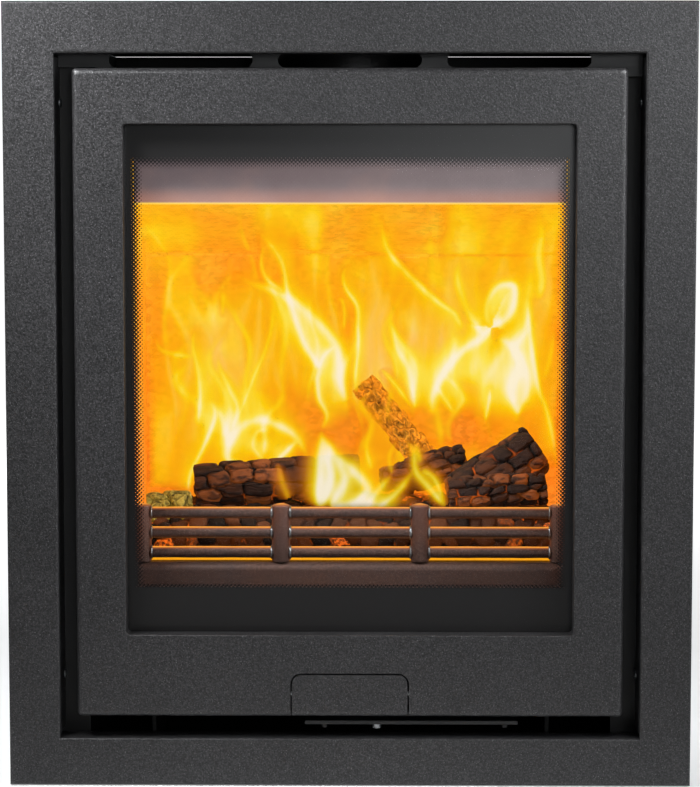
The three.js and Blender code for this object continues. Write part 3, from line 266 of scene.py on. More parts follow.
def placed(name, mesh, finish, body, replaces=()):
    """Links a mesh as a piece that rides on a body and may stand for CAD nodes."""
    mesh.materials.clear()
    mesh.materials.append(finish)
    piece = bpy.data.objects.new(name, mesh)
    bpy.context.scene.collection.objects.link(piece)
    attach(piece, body)
    if replaces:
        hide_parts(*replaces)
    return piece


def node_points(node):
    """A CAD node's vertices as an array, and its triangles."""
    mesh = frame["nodes"][node].data
    points = np.empty(len(mesh.vertices) * 3)
    mesh.vertices.foreach_get("co", points)
    corners = np.empty(len(mesh.loops), int)
    mesh.loops.foreach_get("vertex_index", corners)
    return points.reshape(-1, 3), corners.reshape(-1, 3)


def dressed(node, finish, roll=None, segments=2):
    """A welded copy of a CAD node, with flat faces whole and sharp edges rolled over."""
    points, triangles = node_points(node)
    mesh = bpy.data.meshes.new(f"{node}_dressed")
    mesh.from_pydata(points.tolist(), [], triangles.tolist())
    shape = bmesh.new()
    shape.from_mesh(mesh)
    bmesh.ops.remove_doubles(shape, verts=shape.verts, dist=WELD)
    bmesh.ops.dissolve_limit(shape, angle_limit=FLAT, verts=shape.verts, edges=shape.edges)
    shape.to_mesh(mesh)
    shape.free()
    mesh.shade_smooth()
    mesh.set_sharp_from_angle(angle=SHARP)
    piece = placed(f"{node}_dressed", mesh, finish, BODY_OF[node], (node,))
    bevel = piece.modifiers.new("edge roll", "BEVEL")
    bevel.width = sizes().edge_roll if roll is None else roll
    bevel.segments = segments
    bevel.limit_method = "ANGLE"
    bevel.angle_limit = SHARP
    bevel.miter_outer = "MITER_ARC"
    even = piece.modifiers.new("even faces", "WEIGHTED_NORMAL")
    even.keep_sharp = True
    return piece


BODY_OF = {
    node: body
    for body, nodes in frame["record"]["behaviour"]["bodies"].items()
    for node in nodes
}
SLOT_OF = {row["node"]: row["material_slot"] for row in frame["record"]["subparts"]}


def turned(profile, middle, axis, segments):
    """A turned solid: (radius, height) rows carried round an axis through a middle point.

    Each point is middle + height * axis + radius * (cos a * side + sin a * cross). The first
    and last rows have no radius, so they become the poles.
    """
    axis = np.asarray(axis, float)
    side = np.roll(axis, 1)
    cross = np.cross(axis, side)
    angle = np.linspace(0, 2 * math.pi, segments, endpoint=False)
    ring = np.cos(angle)[:, None] * side + np.sin(angle)[:, None] * cross
    profile = np.asarray(profile, float)
    rows = middle + profile[:, 1, None] * axis
    rings = rows[1:-1, None] + profile[1:-1, 0, None, None] * ring
    return closed_tube(rings, rows[:1], rows[-1:])


def arc(middle, radius, start, end, steps):
    """Points (u, v) along an arc from one angle to another, in degrees."""
    angle = np.radians(np.linspace(start, end, steps))
    return np.stack([middle[0] + radius * np.cos(angle), middle[1] + radius * np.sin(angle)], -1)


def torus(middle, axis, major, minor, segments=24, sides=8):
    """A ring of round section about an axis: the section's circle carried round the circle."""
    axis = np.asarray(axis, float)
    side = np.roll(axis, 1)
    cross = np.cross(axis, side)
    round_it = np.linspace(0, 2 * math.pi, segments, endpoint=False)
    section = np.linspace(0, 2 * math.pi, sides, endpoint=False)
    out = np.cos(round_it)[:, None] * side + np.sin(round_it)[:, None] * cross
    reach = major + minor * np.cos(section)
    rings = middle + out[:, None] * reach[None, :, None]
    rings = rings + (minor * np.sin(section))[None, :, None] * axis
    faces = grid_faces(segments, sides, True, True)
    return rings.reshape(-1, 3), [faces]


def nearest_cells(places, seeds, power=2.0, chunk=8000):
    """For each place its nearest seed, and how much further the second nearest is.

    Distance is the sum of each coordinate's difference to a power, rooted; a high power gives
    squarish cells.
    """
    owner = np.empty(len(places), int)
    near = np.empty(len(places))
    border = np.empty(len(places))
    for start in range(0, len(places), chunk):
        part = places[start:start + chunk]
        gap = np.abs(part[:, None] - seeds[None])
        distance = (gap ** power).sum(-1) ** (1 / power)
        order = np.argpartition(distance, 1, axis=1)[:, :2]
        pair = np.take_along_axis(distance, order, 1)
        first = pair.argmin(1)
        rows = np.arange(len(part))
        owner[start:start + chunk] = order[rows, first]
        near[start:start + chunk] = pair.min(1)
        border[start:start + chunk] = pair.max(1) - pair.min(1)
    return owner, near, border


def waves(u, v, seed, octaves=4, lacunarity=1.9):
    """Smooth wandering between -1 and 1: sines in turned directions, halved at each octave."""
    chance = np.random.default_rng(seed)
    total = np.zeros(np.broadcast(u, v).shape)
    weight = 1.0
    scale = 1.0
    for _ in range(octaves):
        for _ in range(2):
            turn, phase = chance.uniform(0, 2 * math.pi, 2)
            across = u * math.cos(turn) + v * math.sin(turn)
            total = total + weight * np.sin(scale * across + phase)
        weight *= 0.5
        scale *= lacunarity
    return total / 3.2


# ------------------------------------------------------------------ finishes

class Finish:
    """A node material with one Principled surface, fed by patterns on object coordinates."""

    def __init__(self, name, **sockets):
        self.material = bpy.data.materials.new(f"{name}_finish")
        self.material.use_nodes = True
        self.tree = self.material.node_tree
        self.shader = self.tree.nodes["Principled BSDF"]
        self.coordinates = self.tree.nodes.new("ShaderNodeTexCoord").outputs["Object"]
        for socket, value in sockets.items():
            self.set(socket.replace("_", " ").title().replace("Ior", "IOR"), value)

    def set(self, socket, value):
        """Sets a socket of the surface, or feeds it from another node's output."""
        target = self.shader.inputs[socket]
        if isinstance(value, bpy.types.NodeSocket):
            self.tree.links.new(value, target)
        elif hasattr(value, "__len__") and len(target.default_value) == 4:
            target.default_value = (*value[:3], 1.0)
        else:
            target.default_value = value

    def node(self, kind, **inputs):
        """A new node, with its inputs set or linked by name or number."""
        made = self.tree.nodes.new(f"ShaderNode{kind}")
        for key, value in inputs.items():
            numbered = key[0] == "i" and key[1:].isdigit()
            target = made.inputs[int(key[1:]) if numbered else key]
            if isinstance(value, bpy.types.NodeSocket):
                self.tree.links.new(value, target)
            else:
                target.default_value = value
        return made

    def stretched(self, stretch, turn=(0, 0, 0)):
        """Object coordinates, scaled along each axis and turned."""
        if stretch is None:
            return self.coordinates
        return self.node("Mapping", Vector=self.coordinates, Scale=stretch, Rotation=turn).outputs[0]

    def noise(self, scale, detail=2.0, stretch=None, distortion=0.0, turn=(0, 0, 0)):
        """Cloudy noise, about 1 / scale metres across."""
        made = self.node(
            "TexNoise",
            Vector=self.stretched(stretch, turn),
            Scale=scale,
            Detail=detail,
            Distortion=distortion,
        )
        return made.outputs[0]

    def cells(self, scale, feature="F1", stretch=None, output="Distance"):
        """Voronoi cells, about 1 / scale metres across."""
        made = self.node("TexVoronoi", Vector=self.stretched(stretch), Scale=scale)
        made.feature = feature
        return made.outputs[output]

    def attribute(self, name):
        """A number that the mesh carries at its vertices."""
        made = self.tree.nodes.new("ShaderNodeAttribute")
        made.attribute_name = name
        return made.outputs["Fac"]

    def axis(self, letter):
        """One object coordinate."""
        return self.node("SeparateXYZ", Vector=self.coordinates).outputs[letter]

    def maths(self, operation, first, second=0.0, clamp=False):
        """A sum worked out for each point."""
        made = self.node("Math", i0=first, i1=second)
        made.operation = operation
        made.use_clamp = clamp
        return made.outputs[0]

    def ranged(self, value, low, high, to_low=0.0, to_high=1.0, smooth=False):
        """A value carried from one range to another, and held at its ends."""
        made = self.node("MapRange", i0=value, i1=low, i2=high, i3=to_low, i4=to_high)
        made.interpolation_type = "SMOOTHSTEP" if smooth else "LINEAR"
        return made.outputs[0]

    def ramp(self, value, *stops):
        """Colours at places along a value: (place, (red, green, blue)) pairs."""
        made = self.node("ValToRGB", Fac=value)
        elements = made.color_ramp.elements
        while len(elements) < len(stops):
            elements.new(0.5)
        for element, (place, tint) in zip(elements, stops):
            element.position = place
            element.color = (*tint, 1.0)
        return made.outputs[0]

    def mix(self, amount, first, second, kind="MIX"):
        """Two colours mixed, multiplied or added."""
        made = self.node("MixRGB", Fac=amount)
        made.blend_type = kind
        for socket, value in ((made.inputs[1], first), (made.inputs[2], second)):
            if isinstance(value, bpy.types.NodeSocket):
                self.tree.links.new(value, socket)
            else:
                socket.default_value = (*value[:3], 1.0)
        return made.outputs[0]

    def bump(self, height, strength, distance=0.001, under=None):
        """Roughens the surface by a height pattern, on top of another bump if one is given."""
        made = self.node("Bump", Height=height, Strength=strength, Distance=distance)
        if under is not None:
            self.tree.links.new(under, made.inputs["Normal"])
        self.set("Normal", made.outputs[0])
        return made.outputs[0]


def tone(tint, factor):
    """A colour made darker or lighter."""
    return tuple(min(1.0, channel * factor) for channel in tint)


def powder_coat():
    """Textured anthracite: fine grain, a scatter of bright flecks and a slight sheen."""
    base = colours().powder
    finish = Finish("powder_coat", metallic=0.25, specular_ior_level=0.5)
    grain = finish.noise(720, 3.0)
    cloud = finish.noise(14, 2.0)
    fleck = finish.ranged(finish.noise(1100, 1.0), 0.62, 0.76)
    coat = finish.ramp(grain, (0.32, tone(base, 0.35)), (0.5, tone(base, 1.0)), (0.70, tone(base, 2.4)))
    coat = finish.mix(fleck, coat, tone(base, 7.0))
    patch = finish.ramp(cloud, (0.3, (0.90, 0.90, 0.90)), (0.7, (1.08, 1.08, 1.09)))
    finish.set("Base Color", finish.mix(1.0, coat, patch, "MULTIPLY"))
    finish.set("Roughness", finish.ranged(grain, 0.3, 0.7, 0.34, 0.52))
    finish.bump(grain, 0.55, 0.0005)
    return finish.material


def black_steel():
    """Thin satin black paint on sheet, with faint rolling marks."""
    base = colours().black
    finish = Finish("black_steel", metallic=0.1, specular_ior_level=0.4)
    cloud = finish.noise(30, 3.0)
    marks = finish.noise(220, 2.0, stretch=(0.06, 1.0, 1.0))
    finish.set("Base Color", finish.ramp(cloud, (0.3, tone(base, 0.75)), (0.7, tone(base, 1.35))))
    finish.set("Roughness", finish.ranged(marks, 0.3, 0.7, 0.42, 0.60))
    finish.bump(marks, 0.1, 0.0003)
    return finish.material


def inner_casing():
    """Half the distance between the casing's sides, inside."""
    points = node_points("casing_right")[0]
    behind = points[:, 1] > span("firebox_front")[1][1]
    return points[behind, 0].min() + 0.3 * MM


def zinc_sheet():
    """Galvanised sheet: overlapping spangles of slightly different grey, dulled in patches.

    What the opening shows of the casing, which is its inside and its flange, is black paint darkened
    further to 0.4 of the black steel, painted shade for the gaps and slots.
    """
    base = colours().zinc
    finish = Finish("zinc_sheet")
    spangle = finish.cells(85, output="Color")
    spangle = finish.node("SeparateColor", Color=spangle).outputs[0]
    dull = finish.noise(9, 3.0)
    sheet = finish.ramp(spangle, (0.0, tone(base, 0.72)), (1.0, tone(base, 1.18)))
    haze_and_glow = finish.ramp(dull, (0.35, (1.0, 1.0, 1.0)), (0.75, (0.74, 0.75, 0.78)))
    rough = finish.maths(
        "ADD",
        finish.ranged(spangle, 0, 1, 0.30, 0.46),
        finish.ranged(dull, 0.35, 0.8, 0, 0.16),
    )
    back = span("casing_back")[0][1]
    side = inner_casing()
    roof = span("casing_top")[0][2] + 0.6 * MM
    edge = 0.2 * MM
    beside = finish.ranged(finish.maths("ABSOLUTE", finish.axis("X")), side, side + edge, 1.0, 0.0)
    ahead = finish.ranged(finish.axis("Y"), back, back + edge, 1.0, 0.0)
    below = finish.ranged(finish.axis("Z"), roof, roof + edge, 1.0, 0.0)
    flange = span("surround_frame")[1][1] + 1 * MM
    facing = finish.ranged(finish.axis("Y"), flange, flange + 0.1 * MM, 1.0, 0.0)
    inside = finish.maths("MULTIPLY", finish.maths("MULTIPLY", beside, ahead), below)
    # Black paint with painted shade: the inside and flange seen through the gaps and slots, darker than
    # the black steel.
    black_paint_and_shade = finish.maths("MAXIMUM", inside, facing)
    zinc = finish.mix(1.0, sheet, haze_and_glow, "MULTIPLY")
    finish.set("Base Color", finish.mix(black_paint_and_shade, zinc, tone(colours().black, 0.4)))
    finish.set("Metallic", finish.ranged(black_paint_and_shade, 0, 1, 0.9, 0.0))
    paint_rough = finish.maths("MULTIPLY", black_paint_and_shade, 0.6)
    finish.set("Roughness", finish.maths("MAXIMUM", rough, paint_rough))
    finish.bump(finish.cells(85), 0.12, 0.0004)
    return finish.material


def browned(name):
    """Steel browned and hazed by heat, as a finish that more can be added to."""
    base = colours().heated
    finish = Finish(name, metallic=0.55, specular_ior_level=0.5)
    cloud = finish.noise(22, 4.0)
    rusty = (base[0] * 1.5, base[1] * 1.2, base[2])
    tint = finish.ramp(cloud, (0.3, tone(base, 0.8)), (0.5, base), (0.75, rusty))
    finish.set("Base Color", tint)
    finish.set("Roughness", finish.ranged(finish.noise(260, 2.0), 0.3, 0.7, 0.38, 0.55))
    finish.bump(cloud, 0.15, 0.0006)
    return finish


def heat_steel():
    """Plain firebox steel."""
    return browned("heat_steel").material


def deflector():
    """The air-wash plate: heat steel that gives off painted light: a dim glow, lighter to the right,
    painted firelight from below, and a bright painted line of firelight on its lower edge.
    """
    low, high = span("airwash_deflector")
    finish = browned("deflector")
    height = finish.axis("Z")
    right = finish.ranged(finish.axis("X"), low[0], high[0], 0.0, 1.0)
    # Painted light: a dim glow given off by the plate, lighter to the right.
    haze_and_glow = finish.ramp(
        right,
        (0.0, (0.075, 0.055, 0.060)),
        (0.4, (0.13, 0.095, 0.098)),
        (1.0, (0.17, 0.14, 0.145)),
    )
    # Painted firelight from below, over the lowest 15 mm of the plate.
    painted_firelight = finish.ranged(height, low[2] + 15 * MM, low[2] + 2 * MM, 0.0, 1.0, smooth=True)
    # A painted bright line of firelight along the plate's lower edge.
    rim = finish.ranged(height, low[2] + 2.2 * MM, low[2] + 0.9 * MM)
    glow = finish.mix(painted_firelight, haze_and_glow, (0.30, 0.13, 0.09))
    finish.set("Emission Color", finish.mix(rim, glow, (1.0, 0.62, 0.04)))
    finish.set("Emission Strength", 1.0)
    return finish.material


def cast_iron():
    """Sand-cast iron that the fire has turned brown: a pebbly skin, darker in its pits.

    Where the mesh says that firelight grazes it, it shines orange. From the baffle up to the
    firebox's top it turns black.
    """
    base = colours().iron
    finish = Finish("cast_iron", metallic=0.35, specular_ior_level=0.5)
    lit = finish.attribute("firelit")
    finish.set("Emission Color", finish.ramp(
        lit, (0.0, (0.0, 0.0, 0.0)), (0.5, (0.25, 0.06, 0.02)), (1.0, (1.0, 0.36, 0.03)),
    ))
    finish.set("Emission Strength", 1.0)
    skin = finish.noise(620, 4.0)
    cloud = finish.noise(35, 3.0)
    tint = finish.ramp(skin, (0.3, tone(base, 0.6)), (0.52, base), (0.75, tone(base, 1.6)))
    heat = finish.ramp(cloud, (0.3, (0.85, 0.9, 1.0)), (0.7, (1.15, 1.0, 0.9)))
    browned = finish.mix(1.0, tint, heat, "MULTIPLY")
    # Darker from the baffle up to the firebox's top.
    above_baffle = finish.ranged(finish.axis("Z"), span("baffle")[1][2], span("firebox_top")[1][2])
    finish.set("Base Color", finish.mix(above_baffle, browned, tone(colours().black, 0.5)))
    finish.set("Roughness", finish.ranged(skin, 0.3, 0.7, 0.36, 0.54))
    finish.bump(skin, 0.35, 0.0005)
    return finish.material


def fire_brick():
    """Pressed vermiculite board: pale flakes in a sandy body, lit orange by the fire."""
    base = colours().brick
    low, high = span("brick_rear_lower")
    top = span("baffle")[1]
    finish = Finish("fire_brick", roughness=0.92, specular_ior_level=0.2)
    flake = finish.cells(210, stretch=(1.0, 1.0, 1.6), output="Color")
    flake = finish.node("SeparateColor", Color=flake).outputs[0]
    cloud = finish.noise(18, 4.0)
    body = finish.ramp(flake, (0.0, tone(base, 0.7)), (0.6, base), (1.0, tone(base, 1.35)))
    soot = finish.ranged(cloud, 0.45, 0.75, 0.0, 0.45)
    body = finish.mix(soot, body, (0.10, 0.07, 0.05))
    finish.set("Base Color", body)
    reach = finish.ranged(finish.axis("Z"), low[2], top[2], 0.0, 1.0)
    light = finish.ramp(
        finish.maths("ADD", reach, finish.ranged(cloud, 0.3, 0.7, -0.22, 0.22)),
        (0.0, (1.0, 0.19, 0.004)),
        (0.45, (0.98, 0.29, 0.006)),
        (0.80, (1.0, 0.46, 0.008)),
        (1.0, (1.0, 0.62, 0.02)),
    )
    grit = finish.ranged(flake, 0.0, 1.0, 0.86, 1.08)
    light = finish.mix(1.0, light, finish.ramp(grit, (0.0, (0, 0, 0)), (1.0, (1, 1, 1))), "MULTIPLY")
    inside = finish.ranged(finish.axis("Y"), high[1] - 0.004, high[1] - 0.016, 0.0, 1.0)
    finish.set("Emission Color", finish.mix(inside, (0.0, 0.0, 0.0), light))
    finish.set("Emission Strength", 0.86)
    finish.bump(flake, 0.3, 0.0008)
    return finish.material


def stove_glass():
    """Clear ceramic glass with a printed border that breaks up into shrinking dots.

    The dots lie where cos(x) * cos(z) is high, a square lattice turned by an eighth; the
    limit above which a place is printed rises from the border's solid edge inwards.
    """
    low, high = span("door_glass")
    reveal = 0.0075  # the glass under the door's frame, out to its edge
    size = sizes()
    finish = Finish("stove_glass", specular_ior_level=0.26)
    across = finish.axis("X")
    up = finish.axis("Z")
    edges = (
        (across, low[0] + reveal + size.border_side, size.border_fade),
        (across, high[0] - reveal - size.border_side, -size.border_fade),
        (up, low[2] + reveal + size.border_bottom, size.border_fade_bottom),
        (up, high[2] - reveal - size.border_top, -size.border_fade),
    )
    limit = None
    for coordinate, start, fade in edges:
        inward = finish.ranged(coordinate, start, start + fade, -1.02, 1.02)
        limit = inward if limit is None else finish.maths("MINIMUM", limit, inward)
    turn = 2 * math.pi / size.dot_pitch
    wave_x = finish.maths("COSINE", finish.maths("MULTIPLY", across, turn))
    wave_z = finish.maths("COSINE", finish.maths("MULTIPLY", up, turn))
    dots = finish.maths("MULTIPLY", wave_x, wave_z)
    printed = finish.ranged(finish.maths("SUBTRACT", dots, limit), -0.06, 0.06)
    finish.set("Base Color", colours().enamel)
    finish.set("Roughness", finish.ranged(printed, 0.0, 1.0, 0.03, 0.26))
    finish.set("Alpha", finish.ranged(printed, 0.0, 1.0, 0.045, 1.0))
    return finish.material


def rope_fibre():
    """Braided glass-fibre rope and tape, grey-black with paler broken strands."""
    base = colours().rope
    finish = Finish("rope_fibre", roughness=0.95, specular_ior_level=0.15)
    strand = finish.noise(900, 3.0, stretch=(1.0, 0.3, 1.0))
    finish.set("Base Color", finish.ramp(strand, (0.35, tone(base, 0.6)), (0.7, tone(base, 2.2))))
    finish.bump(strand, 0.5, 0.0006)
    return finish.material


def bolt_steel():
    """Plated steel with fine turning marks and a little tarnish."""
    base = colours().bolt
    finish = Finish("bolt_steel", metallic=0.95)
    tarnish = finish.noise(70, 3.0)
    marks = finish.noise(1300, 1.0, stretch=(1.0, 1.0, 0.1))
    finish.set("Base Color", finish.ramp(tarnish, (0.3, tone(base, 0.75)), (0.7, tone(base, 1.2))))
    finish.set("Roughness", finish.ranged(marks, 0.3, 0.7, 0.26, 0.42))
    finish.bump(marks, 0.08, 0.0002)
    return finish.material


def charred_wood():
    """Burnt wood: near-black blocks with browned faces, fire in the cracks between them, and painted
    firelight, a faint orange glow on the lighter blocks.
    """
    base = colours().char
    finish = Finish("charred_wood", roughness=0.85, specular_ior_level=0.3)
    grain = finish.noise(240, 5.0, stretch=(0.45, 1.0, 1.0), distortion=0.5)
    block = finish.attribute("block")
    crack = finish.attribute("crack")
    face = finish.ramp(
        block,
        (0.0, tone(base, 0.9)),
        (0.55, (0.060, 0.022, 0.010)),
        (1.0, (0.17, 0.055, 0.020)),
    )
    face = finish.mix(finish.ranged(grain, 0.45, 0.7, 0.0, 0.8), face, tone(base, 0.5))
    finish.set("Base Color", finish.mix(crack, face, (0.004, 0.003, 0.002)))
    patchy = finish.ranged(finish.noise(34, 2.0), 0.56, 0.70)
    fire = finish.maths("MULTIPLY", finish.ranged(crack, 0.35, 0.95), patchy)
    # Painted firelight: a faint orange glow on the blocks of lighter tone, strongest where the grain
    # pattern is low.
    painted_firelight = finish.maths(
        "MULTIPLY",
        finish.ranged(block, 0.3, 1.0, 0.0, 0.16),
        finish.ranged(grain, 0.6, 0.42),
    )
    glow = finish.mix(fire, (0.0, 0.0, 0.0), colours().ember)
    glow = finish.mix(painted_firelight, glow, (1.0, 0.24, 0.03))
    finish.set("Emission Color", glow)
    finish.set("Emission Strength", 0.9)
    finish.bump(grain, 1.0, 0.0025)
    return finish.material


def fibrous(name, base):
    """Torn wood fibres or papery bark with painted firelight: the surface gives off its own tint, warmed
    towards yellow.
    """
    finish = Finish(name, roughness=0.9, specular_ior_level=0.2)
    plates = finish.noise(250, 6.0, stretch=(0.8, 1.0, 0.7), distortion=0.8)
    tint = finish.ramp(plates, (0.32, tone(base, 0.17)), (0.5, tone(base, 1.1)), (0.68, tone(base, 2.2)))
    finish.set("Base Color", tint)
    # Painted firelight: the wood's tint, warmed yellow, given off as light.
    finish.set("Emission Color", finish.mix(1.0, tint, (1.0, 0.85, 0.4), "MULTIPLY"))
    finish.set("Emission Strength", 0.75)
    finish.bump(plates, 1.0, 0.004)
    return finish.material


def bark_wood():
    """The new log, in mossy, papery bark with painted yellow-green firelight."""
    return fibrous("bark_wood", colours().bark)


def split_wood():
    """The leaning stick, whose split face has painted yellow-brown firelight among the flames."""
    return fibrous("split_wood", colours().split)


def ember():
    """Coals: dark crusts that glow where they touch, and burn bright low in the bed."""
    finish = Finish("ember", roughness=0.9, specular_ior_level=0.2)
    low = span("ember_bed")[0]
    lump = finish.attribute("block")
    crack = finish.attribute("crack")
    ash = finish.noise(420, 4.0)
    crust = finish.ramp(
        lump,
        (0.0, (0.010, 0.006, 0.004)),
        (0.5, (0.030, 0.012, 0.006)),
        (1.0, (0.09, 0.034, 0.014)),
    )
    crust = finish.mix(finish.ranged(ash, 0.58, 0.78, 0.0, 0.35), crust, (0.14, 0.10, 0.08))
    finish.set("Base Color", finish.mix(crack, crust, (0.004, 0.002, 0.001)))
    deep = finish.ranged(finish.axis("Z"), low[2] + 0.017, low[2] + 0.010)
    patchy = finish.ranged(finish.noise(45, 2.0), 0.54, 0.68)
    between = finish.maths("MULTIPLY", finish.ranged(crack, 0.3, 0.9, 0.0, 1.0), patchy)
    hot = finish.maths("MULTIPLY", finish.ranged(lump, 0.93, 0.96), finish.ranged(ash, 0.58, 0.38))
    glow = finish.mix(finish.maths("MAXIMUM", between, hot), (0.0, 0.0, 0.0), colours().ember)
    glow = finish.mix(finish.ranged(lump, 0.3, 0.9, 0.0, 0.05), glow, (1.0, 0.20, 0.02))
    finish.set("Emission Color", finish.mix(deep, glow, (1.0, 0.40, 0.010)))
    finish.set("Emission Strength", 1.0)
    finish.bump(ash, 0.6, 0.001)
    return finish.material


def flame():
    """Burning gas: light without body, from deep orange through yellow to white.

    The mesh carries how hot the flame is and how much it covers; fine upright noise breaks
    the heat up a little.
    """
    finish = Finish("flame", roughness=1.0, specular_ior_level=0.0, base_color=(0.0, 0.0, 0.0))
    fine = finish.noise(60, 3.0, stretch=(1.0, 1.0, 0.3), distortion=0.8)
    warm = finish.maths("ADD", finish.attribute("warmth"), finish.ranged(fine, 0.3, 0.7, -0.05, 0.05))
    finish.set("Emission Color", finish.ramp(
        warm,
        (0.0, (1.0, 0.19, 0.004)),
        (0.18, (1.0, 0.33, 0.004)),
        (0.36, (1.0, 0.50, 0.003)),
        (0.54, colours().flame),
        (0.70, (1.0, 0.80, 0.08)),
        (0.84, (1.0, 0.87, 0.36)),
        (1.0, (1.0, 0.90, 0.68)),
    ))
    finish.set("Emission Strength", 1.07)
    finish.set("Alpha", finish.attribute("cover"))
    return finish.material


FINISHES = {
    "powder_coat": powder_coat,
    "black_steel": black_steel,
    "zinc_sheet": zinc_sheet,
    "heat_steel": heat_steel,
    "deflector": deflector,
    "cast_iron": cast_iron,
    "fire_brick": fire_brick,
    "stove_glass": stove_glass,
    "rope_fibre": rope_fibre,
    "bolt_steel": bolt_steel,
    "charred_wood": charred_wood,
    "bark_wood": bark_wood,
    "split_wood": split_wood,
    "ember": ember,
}


def finish_of(slot):
    """The material of a slot, made the first time that it is asked for."""
    return bpy.data.materials.get(f"{slot}_finish") or FINISHES[slot]()


def dress_all(nodes, **options):
    """Dresses several CAD nodes, each in its own slot's finish."""
    for node in nodes:
        dressed(node, finish_of(SLOT_OF[node]), **options)


# ------------------------------------------------------------------ log guard

def guard_posts():
    """Turned posts: a straight shank with a rolled foot and a shallow domed head."""
    for number in range(1, 5):
        low, high = span(f"guard_post_{number}")
        middle = np.array([(low[0] + high[0]) / 2, (low[1] + high[1]) / 2, low[2]])
        radius = (high[0] - low[0]) / 2
        tall = high[2] - low[2]
        dome = 0.002
        foot_roll = 0.0008
        head_roll = 0.0012
        foot = arc((radius - foot_roll, foot_roll), foot_roll, -90, 0, 5)
        head = arc((radius - head_roll, tall - dome - 0.0004), head_roll, 0, 65, 6)
        across = np.linspace(head[-1, 0], 0, 8)[1:]
        crown = tall - (tall - head[-1, 1]) * (across / head[-1, 0]) ** 2
        profile = np.vstack([[[0, 0]], foot, head, np.stack([across, crown], -1)])
        yield turned(profile, middle, (0, 0, 1), 56)


def guard_rails():
    """Cast rails: round bars that waver by a few hundredths, with rolled ends."""
    for number in range(1, 4):
        low, high = span(f"guard_rail_{number}")
        radius = (high[2] - low[2]) / 2
        middle = np.array([low[0], (low[1] + high[1]) / 2, (low[2] + high[2]) / 2])
        across = high[0] - low[0]
        end_roll = 0.0006
        unevenness = 0.0001
        along = np.linspace(end_roll, across - end_roll, 120)
        waver = np.sin(210 * along + number) * np.cos(83 * along)
        body = np.stack([radius - unevenness + unevenness * waver, along], -1)
        face = radius * 0.75
        profile = np.vstack([[[0, 0], [face, 0]], body, [[face, across], [0, across]]])
        yield turned(profile, middle, (1, 0, 0), 40)


def firelit(points):
    """How much firelight grazes a bar at each point: most where the bar's side looks upwards."""
    height = points[:, 2]
    middle = (height.max() + height.min()) / 2
    upwards = (height - middle) / (height.max() - middle)
    return {"firelit": np.clip((upwards - 0.52) / 0.40, 0, 1) ** 1.3}


def post_light(points):
    """How much firelight a post catches: on its domed head and down its sides."""
    low, high = points.min(0), points.max(0)
    middle = (low + high) / 2
    cap = 3.0 * MM
    head = np.clip((points[:, 2] - high[2] + cap) / cap, 0, 1) ** 1.5
    side = np.abs(points[:, 0] - middle[0]) / (high[0] - middle[0])
    rise = (points[:, 2] - low[2]) / (high[2] - low[2])
    flank = np.clip((side - 0.86) / 0.14, 0, 1) * (0.4 + 0.6 * rise)
    return {"firelit": np.maximum(0.9 * head, 0.42 * flank)}


def guard_welds():
    """Small fillets where each rail enters the sides of each post."""
    proud = 0.0002
    fillet = 0.0008
    for rail in range(1, 4):
        low, high = span(f"guard_rail_{rail}")
        radius = (high[2] - low[2]) / 2
        for post in range(1, 5):
            post_low, post_high = span(f"guard_post_{post}")
            for x in (post_low[0] - proud, post_high[0] + proud):
                if low[0] + 0.001 < x < high[0] - 0.001:
                    middle = np.array([x, (low[1] + high[1]) / 2, (low[2] + high[2]) / 2])
                    yield torus(middle, (1, 0, 0), radius + proud, fillet)


# ------------------------------------------------------------------ rope seal

def rounded_path(low, high, radius, count):
    """Points and outward directions evenly along a rectangle with round corners, in x and z."""
    corners = [
        arc((high[0] - radius, low[1] + radius), radius, -90, 0, 12),
        arc((high[0] - radius, high[1] - radius), radius, 0, 90, 12),
        arc((low[0] + radius, high[1] - radius), radius, 90, 180, 12),
        arc((low[0] + radius, low[1] + radius), radius, 180, 270, 12),
    ]
    outline = np.vstack([*corners, corners[0][:1]])
    travelled = np.r_[0, np.cumsum(np.linalg.norm(np.diff(outline, axis=0), axis=1))]
    even = np.linspace(0, travelled[-1], count, endpoint=False)
    places = np.stack([np.interp(even, travelled, outline[:, k]) for k in (0, 1)], -1)
    ahead = np.roll(places, -1, axis=0) - np.roll(places, 1, axis=0)
    ahead /= np.linalg.norm(ahead, axis=1)[:, None]
    return places, np.stack([ahead[:, 1], -ahead[:, 0]], -1), even


def rope_seal():
    """Braided rope: a round section carried round the door, its radius rising and falling along
    two families of spirals that cross, as the strands of a braid do."""
    low, high = span("door_seal")
    radius = (high[1] - low[1]) / 2
    depth = (high[1] + low[1]) / 2
    inset = np.array([radius, radius])
    count = 1500
    sides = 28
    places, outward, along = rounded_path(low[[0, 2]] + inset, high[[0, 2]] - inset, 0.010, count)
    angle = np.linspace(0, 2 * math.pi, sides, endpoint=False)[None]
    turns = 2 * math.pi * round(along[-1] / sizes().rope_turn) / (along[-1] + along[1])
    left = np.cos(turns * along[:, None] + 3 * angle)
    right = np.cos(turns * along[:, None] - 3 * angle)
    relief = np.maximum(left, right) ** 3
    reach = radius * (0.95 + 0.05 * relief)
    out = reach * np.cos(angle)
    x = places[:, :1] + outward[:, :1] * out
    z = places[:, 1:] + outward[:, 1:] * out
    y = depth + reach * np.sin(angle)
    points = np.stack([x, y, z], -1).reshape(-1, 3)
    return points, [grid_faces(count, sides, True, True)]


# ------------------------------------------------------------------ fuel

def node_axis(node):
    """Middle, direction, length and mean radius of a log's CAD node, from its spread of points."""
    points = np.unique(node_points(node)[0].round(6), axis=0)
    middle = (points.max(0) + points.min(0)) / 2
    _, _, axes = np.linalg.svd(points - points.mean(0), full_matrices=False)
    direction = axes[0] * np.sign(axes[0][0])
    along = (points - middle) @ direction
    off = np.linalg.norm(points - middle - along[:, None] * direction, axis=1)
    return middle, direction, along.max() - along.min(), np.median(off)


